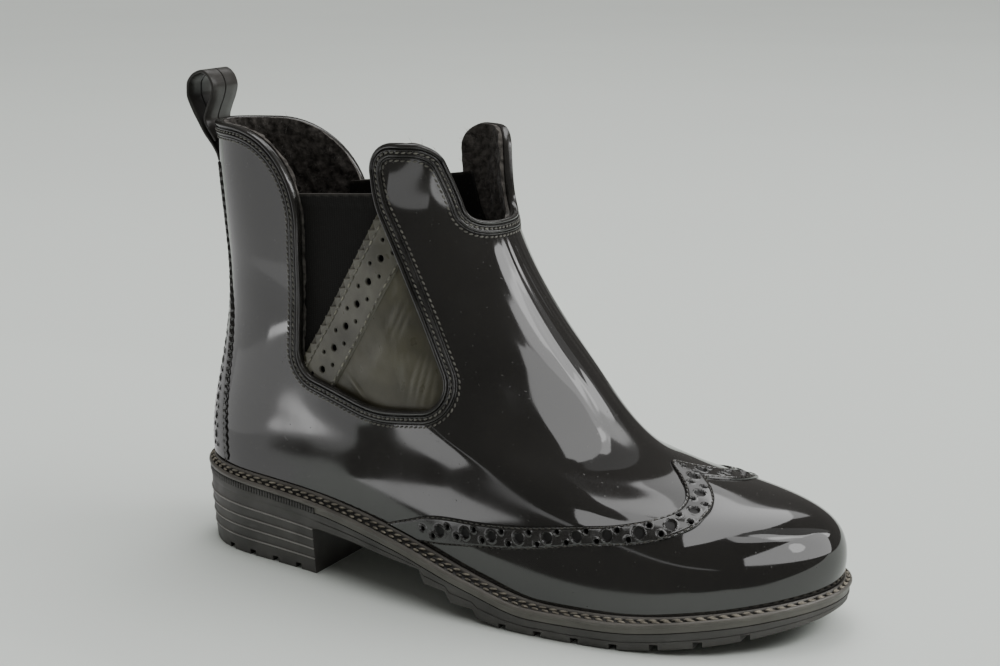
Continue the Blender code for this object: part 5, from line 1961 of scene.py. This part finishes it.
def make_lights():
    for card in CARDS:
        az, low, high = np.array(card.columns, float).T
        azimuth = np.linspace(az[0], az[-1], int((az[-1] - az[0]) / CARD_STEP) + 2)
        rows = [np.interp(azimuth, az, low) * (1 - share) + np.interp(azimuth, az, high) * share
                for share in np.linspace(0, 1, CARD_ROWS)]
        points = [np.array(card.centre) + towards(azimuth, row) * card.distance for row in rows]
        add_light_mesh(card.name, np.concatenate(points), card.strength, card.distance > NEAR_CARD,
                       grid_faces(CARD_ROWS, len(azimuth)))
    for panel in PANELS:
        corners = [(x, y, panel.z) for x, y in panel.corners]
        add_light_mesh(panel.name, corners, panel.strength, panel.z > ON_FLOOR)
    for k, lamp in enumerate(LAMPS):
        middle = metres((lamp.x, lamp.y, lamp.z))
        away = unit(np.array(BOOT_MIDDLE) - middle)
        aside = unit(np.cross(away, (0, 0, 1)))
        upwards = np.cross(aside, away)
        turns = np.linspace(0, TURN, LAMP_SIDES, endpoint=False)
        points = [middle + (aside * math.cos(t) + upwards * math.sin(t)) * lamp.radius * MM for t in turns]
        add_light_mesh(f"lamp_{k + 1}", points, lamp.strength)
    sun = bpy.data.lights.new("soft_sky", "SUN")
    sun.energy = SUN_STRENGTH
    sun.angle = math.radians(SUN_SPREAD)
    holder = put_in_scene("soft_sky", sun)
    holder.rotation_euler = (-Vector(towards(*SUN_FROM))).to_track_quat("-Z", "Y").to_euler()
    holder.visible_glossy = False


def make_stage(sizes, colours):
    scene = bpy.context.scene
    material = floor_material(colours.floor)
    add_floor("floor", [*FLOOR_EDGE, (FLOOR_REACH, FLOOR_REACH), (-FLOOR_REACH, FLOOR_REACH)], material)
    front = [(-FLOOR_REACH, -FLOOR_REACH), (FLOOR_REACH, -FLOOR_REACH)]
    apron = add_floor("floor_front", [*front, *FLOOR_EDGE[::-1]], material)
    apron.visible_glossy = False
    make_lights()
    world = bpy.data.worlds.new("stage_world")
    world.use_nodes = True
    world.node_tree.nodes["Background"].inputs["Color"].default_value = (*colours.world, 1)
    scene.world = world
    camera = bpy.data.cameras.new("camera")
    camera.lens = LENS
    camera.sensor_width = SENSOR_WIDTH
    camera.clip_end = FAR_CLIP
    holder = put_in_scene("camera", camera)
    turn = Matrix((CAMERA_RIGHT, CAMERA_UP, CAMERA_BACK)).transposed()
    holder.matrix_world = Matrix.Translation(Vector(CAMERA_AT) * MM) @ turn.to_4x4()
    scene.camera = holder


# Sizes, colours, operators and panel


def length_property(name, description, default):
    return FloatProperty(name=name, description=description, default=default, min=0.0, unit="LENGTH", precision=5)


def colour_property(name, description, default):
    return FloatVectorProperty(name=name, description=description, default=default, size=3, min=0.0, max=1.0,
                               subtype="COLOR")


class BootSizes(bpy.types.PropertyGroup):
    """Sizes of the boot's fine detail."""

    flute_depth: length_property("Flute depth", "Height of the flutes on the instep", 0.00006)
    face_waves: length_property("Face waves", "Height of the slow waves in the gloss face", 0.00003)
    stitch_pitch: length_property("Collar stitch", "From one collar stitch to the next", 0.0023)
    trim_stitch_pitch: length_property("Trim stitch", "From one trim stitch to the next", 0.0025)
    rope_pitch: length_property("Welt rope", "From one twist of the welt's rope to the next", 0.0042)
    rib_pitch: length_property("Heel rib", "From one rib under the welt to the next", 0.00148)
    pink_pitch: length_property("Pinked teeth", "From one tooth of the pinked edge to the next", 0.0049)
    tooth_pitch: length_property("Back strip teeth", "From one tooth of the back strip to the next", 0.0034)
    fleece_depth: length_property("Fleece", "Thickness of the fleece lining", 0.0013)
    nap_length: length_property("Nap", "Length of the fleece's hairs", 0.0028)
    nap_density: FloatProperty(name="Nap density", description="Hairs on a square metre", default=260000.0, min=0.0)
    seed: IntProperty(name="Seed", description="Start of all that is random", default=7, min=0)


class BootColours(bpy.types.PropertyGroup):
    """Colours of the boot's finishes."""

    gloss: colour_property("Gloss rubber", "Upper", (0.0155, 0.0148, 0.0135))
    trim: colour_property("Trim", "Perforated trims", (0.0155, 0.0148, 0.0135))
    binding: colour_property("Binding", "Edge of the collar", (0.016, 0.0152, 0.0135))
    # The collar stitches' pale colour is a painted highlight on stitches moulded in the black rubber
    thread: colour_property("Collar thread", "Stitches of the collar", (0.13, 0.124, 0.108))
    # The trim stitches' lighter colour is a painted highlight
    trim_thread: colour_property("Trim thread", "Stitches of the trims", (0.06, 0.056, 0.048))
    panel_thread: colour_property("Panel thread", "Stitches of the gore panel", (0.22, 0.21, 0.17))
    welt_thread: colour_property("Welt thread", "Rope stitches on the welt", (0.23, 0.208, 0.165))
    olive: colour_property("Olive panel", "Panel beside the gore", (0.078, 0.072, 0.047))
    pinked: colour_property("Pinked strip", "Strip beside the gore", (0.113, 0.107, 0.086))
    elastic: colour_property("Elastic", "Gores", (0.0075, 0.0068, 0.006))
    fleece: colour_property("Fleece", "Lining", (0.075, 0.069, 0.063))
    footbed: colour_property("Footbed", "Felt of the footbed", (0.014, 0.014, 0.014))
    sole: colour_property("Sole", "Outsole and heel", (0.062, 0.059, 0.055))
    # Pale colour of the heel's raised lines is a painted highlight
    sole_edge: colour_property("Sole edges", "Raised lines of the heel", (0.26, 0.25, 0.235))
    welt: colour_property("Welt", "Welt", (0.105, 0.098, 0.086))
    ribbon: colour_property("Ribbon", "Pull loop", (0.034, 0.032, 0.029))
    floor: colour_property("Floor", "Floor of the stage", (0.79, 0.835, 0.79))
    world: colour_property("Room", "Light from all round", (0.13, 0.125, 0.12))


class BootOperator:
    """Shared by the operators: each makes its pieces or raises an error."""

    bl_options = {"REGISTER", "UNDO"}

    def execute(self, context):
        self.make(context.scene.boot_sizes, context.scene.boot_colours)
        return {"FINISHED"}


class BOOT_OT_upper(BootOperator, bpy.types.Operator):
    """Make the glossy upper with its fluted instep"""

    bl_idname = "boot.upper"
    bl_label = "Upper"
    make = staticmethod(make_upper)


class BOOT_OT_collar(BootOperator, bpy.types.Operator):
    """Make the collar's edge binding and its two rows of stitches"""

    bl_idname = "boot.collar"
    bl_label = "Collar"
    make = staticmethod(make_collar)


class BOOT_OT_lining(BootOperator, bpy.types.Operator):
    """Make the fleece lining and its nap"""

    bl_idname = "boot.lining"
    bl_label = "Lining"
    make = staticmethod(make_lining)


class BOOT_OT_gores(BootOperator, bpy.types.Operator):
    """Make the elastic gores, their olive panels and pinked strips"""

    bl_idname = "boot.gores"
    bl_label = "Gores"
    make = staticmethod(make_gores)


class BOOT_OT_trims(BootOperator, bpy.types.Operator):
    """Make the perforated wing-tip trim and the back strips"""

    bl_idname = "boot.trims"
    bl_label = "Trims"
    make = staticmethod(make_trims)


class BOOT_OT_welt(BootOperator, bpy.types.Operator):
    """Make the welt and its rope stitches"""

    bl_idname = "boot.welt"
    bl_label = "Welt"
    make = staticmethod(make_welt)


class BOOT_OT_sole(BootOperator, bpy.types.Operator):
    """Make the outsole, the stacked heel and its ribs"""

    bl_idname = "boot.sole"
    bl_label = "Sole and heel"
    make = staticmethod(make_sole)


class BOOT_OT_footbed(BootOperator, bpy.types.Operator):
    """Make the felt footbed"""

    bl_idname = "boot.footbed"
    bl_label = "Footbed"
    make = staticmethod(make_footbed)


class BOOT_OT_pull_loop(BootOperator, bpy.types.Operator):
    """Make the pull loop's ribbon"""

    bl_idname = "boot.pull_loop"
    bl_label = "Pull loop"
    make = staticmethod(make_pull_loop)


class BOOT_OT_stage(BootOperator, bpy.types.Operator):
    """Make the floor, lamps and camera"""

    bl_idname = "boot.stage"
    bl_label = "Stage"
    make = staticmethod(make_stage)


OPERATORS = [
    BOOT_OT_upper, BOOT_OT_collar, BOOT_OT_lining, BOOT_OT_gores, BOOT_OT_trims, BOOT_OT_welt, BOOT_OT_sole,
    BOOT_OT_footbed, BOOT_OT_pull_loop, BOOT_OT_stage,
]


class BOOT_PT_pieces(bpy.types.Panel):
    """Lists the boot's pieces with their sizes and colours"""

    bl_idname = "BOOT_PT_pieces"
    bl_label = "Rubber ankle boot"
    bl_space_type = "VIEW_3D"
    bl_region_type = "UI"
    bl_category = "Boot"

    def draw(self, context):
        for operator in OPERATORS:
            self.layout.operator(operator.bl_idname)
        for group in (context.scene.boot_sizes, context.scene.boot_colours):
            for name in group.__annotations__:
                self.layout.prop(group, name)


CLASSES = [BootSizes, BootColours, *OPERATORS, BOOT_PT_pieces]


def register():
    for kind in CLASSES:
        bpy.utils.register_class(kind)
    bpy.types.Scene.boot_sizes = PointerProperty(type=BootSizes)
    bpy.types.Scene.boot_colours = PointerProperty(type=BootColours)


def unregister():
    del bpy.types.Scene.boot_colours
    del bpy.types.Scene.boot_sizes
    for kind in reversed(CLASSES):
        bpy.utils.unregister_class(kind)


def main():
    register()
    for operator in OPERATORS:
        family, name = operator.bl_idname.split(".")
        getattr(getattr(bpy.ops, family), name)()


if __name__ == "__main__":
    main()
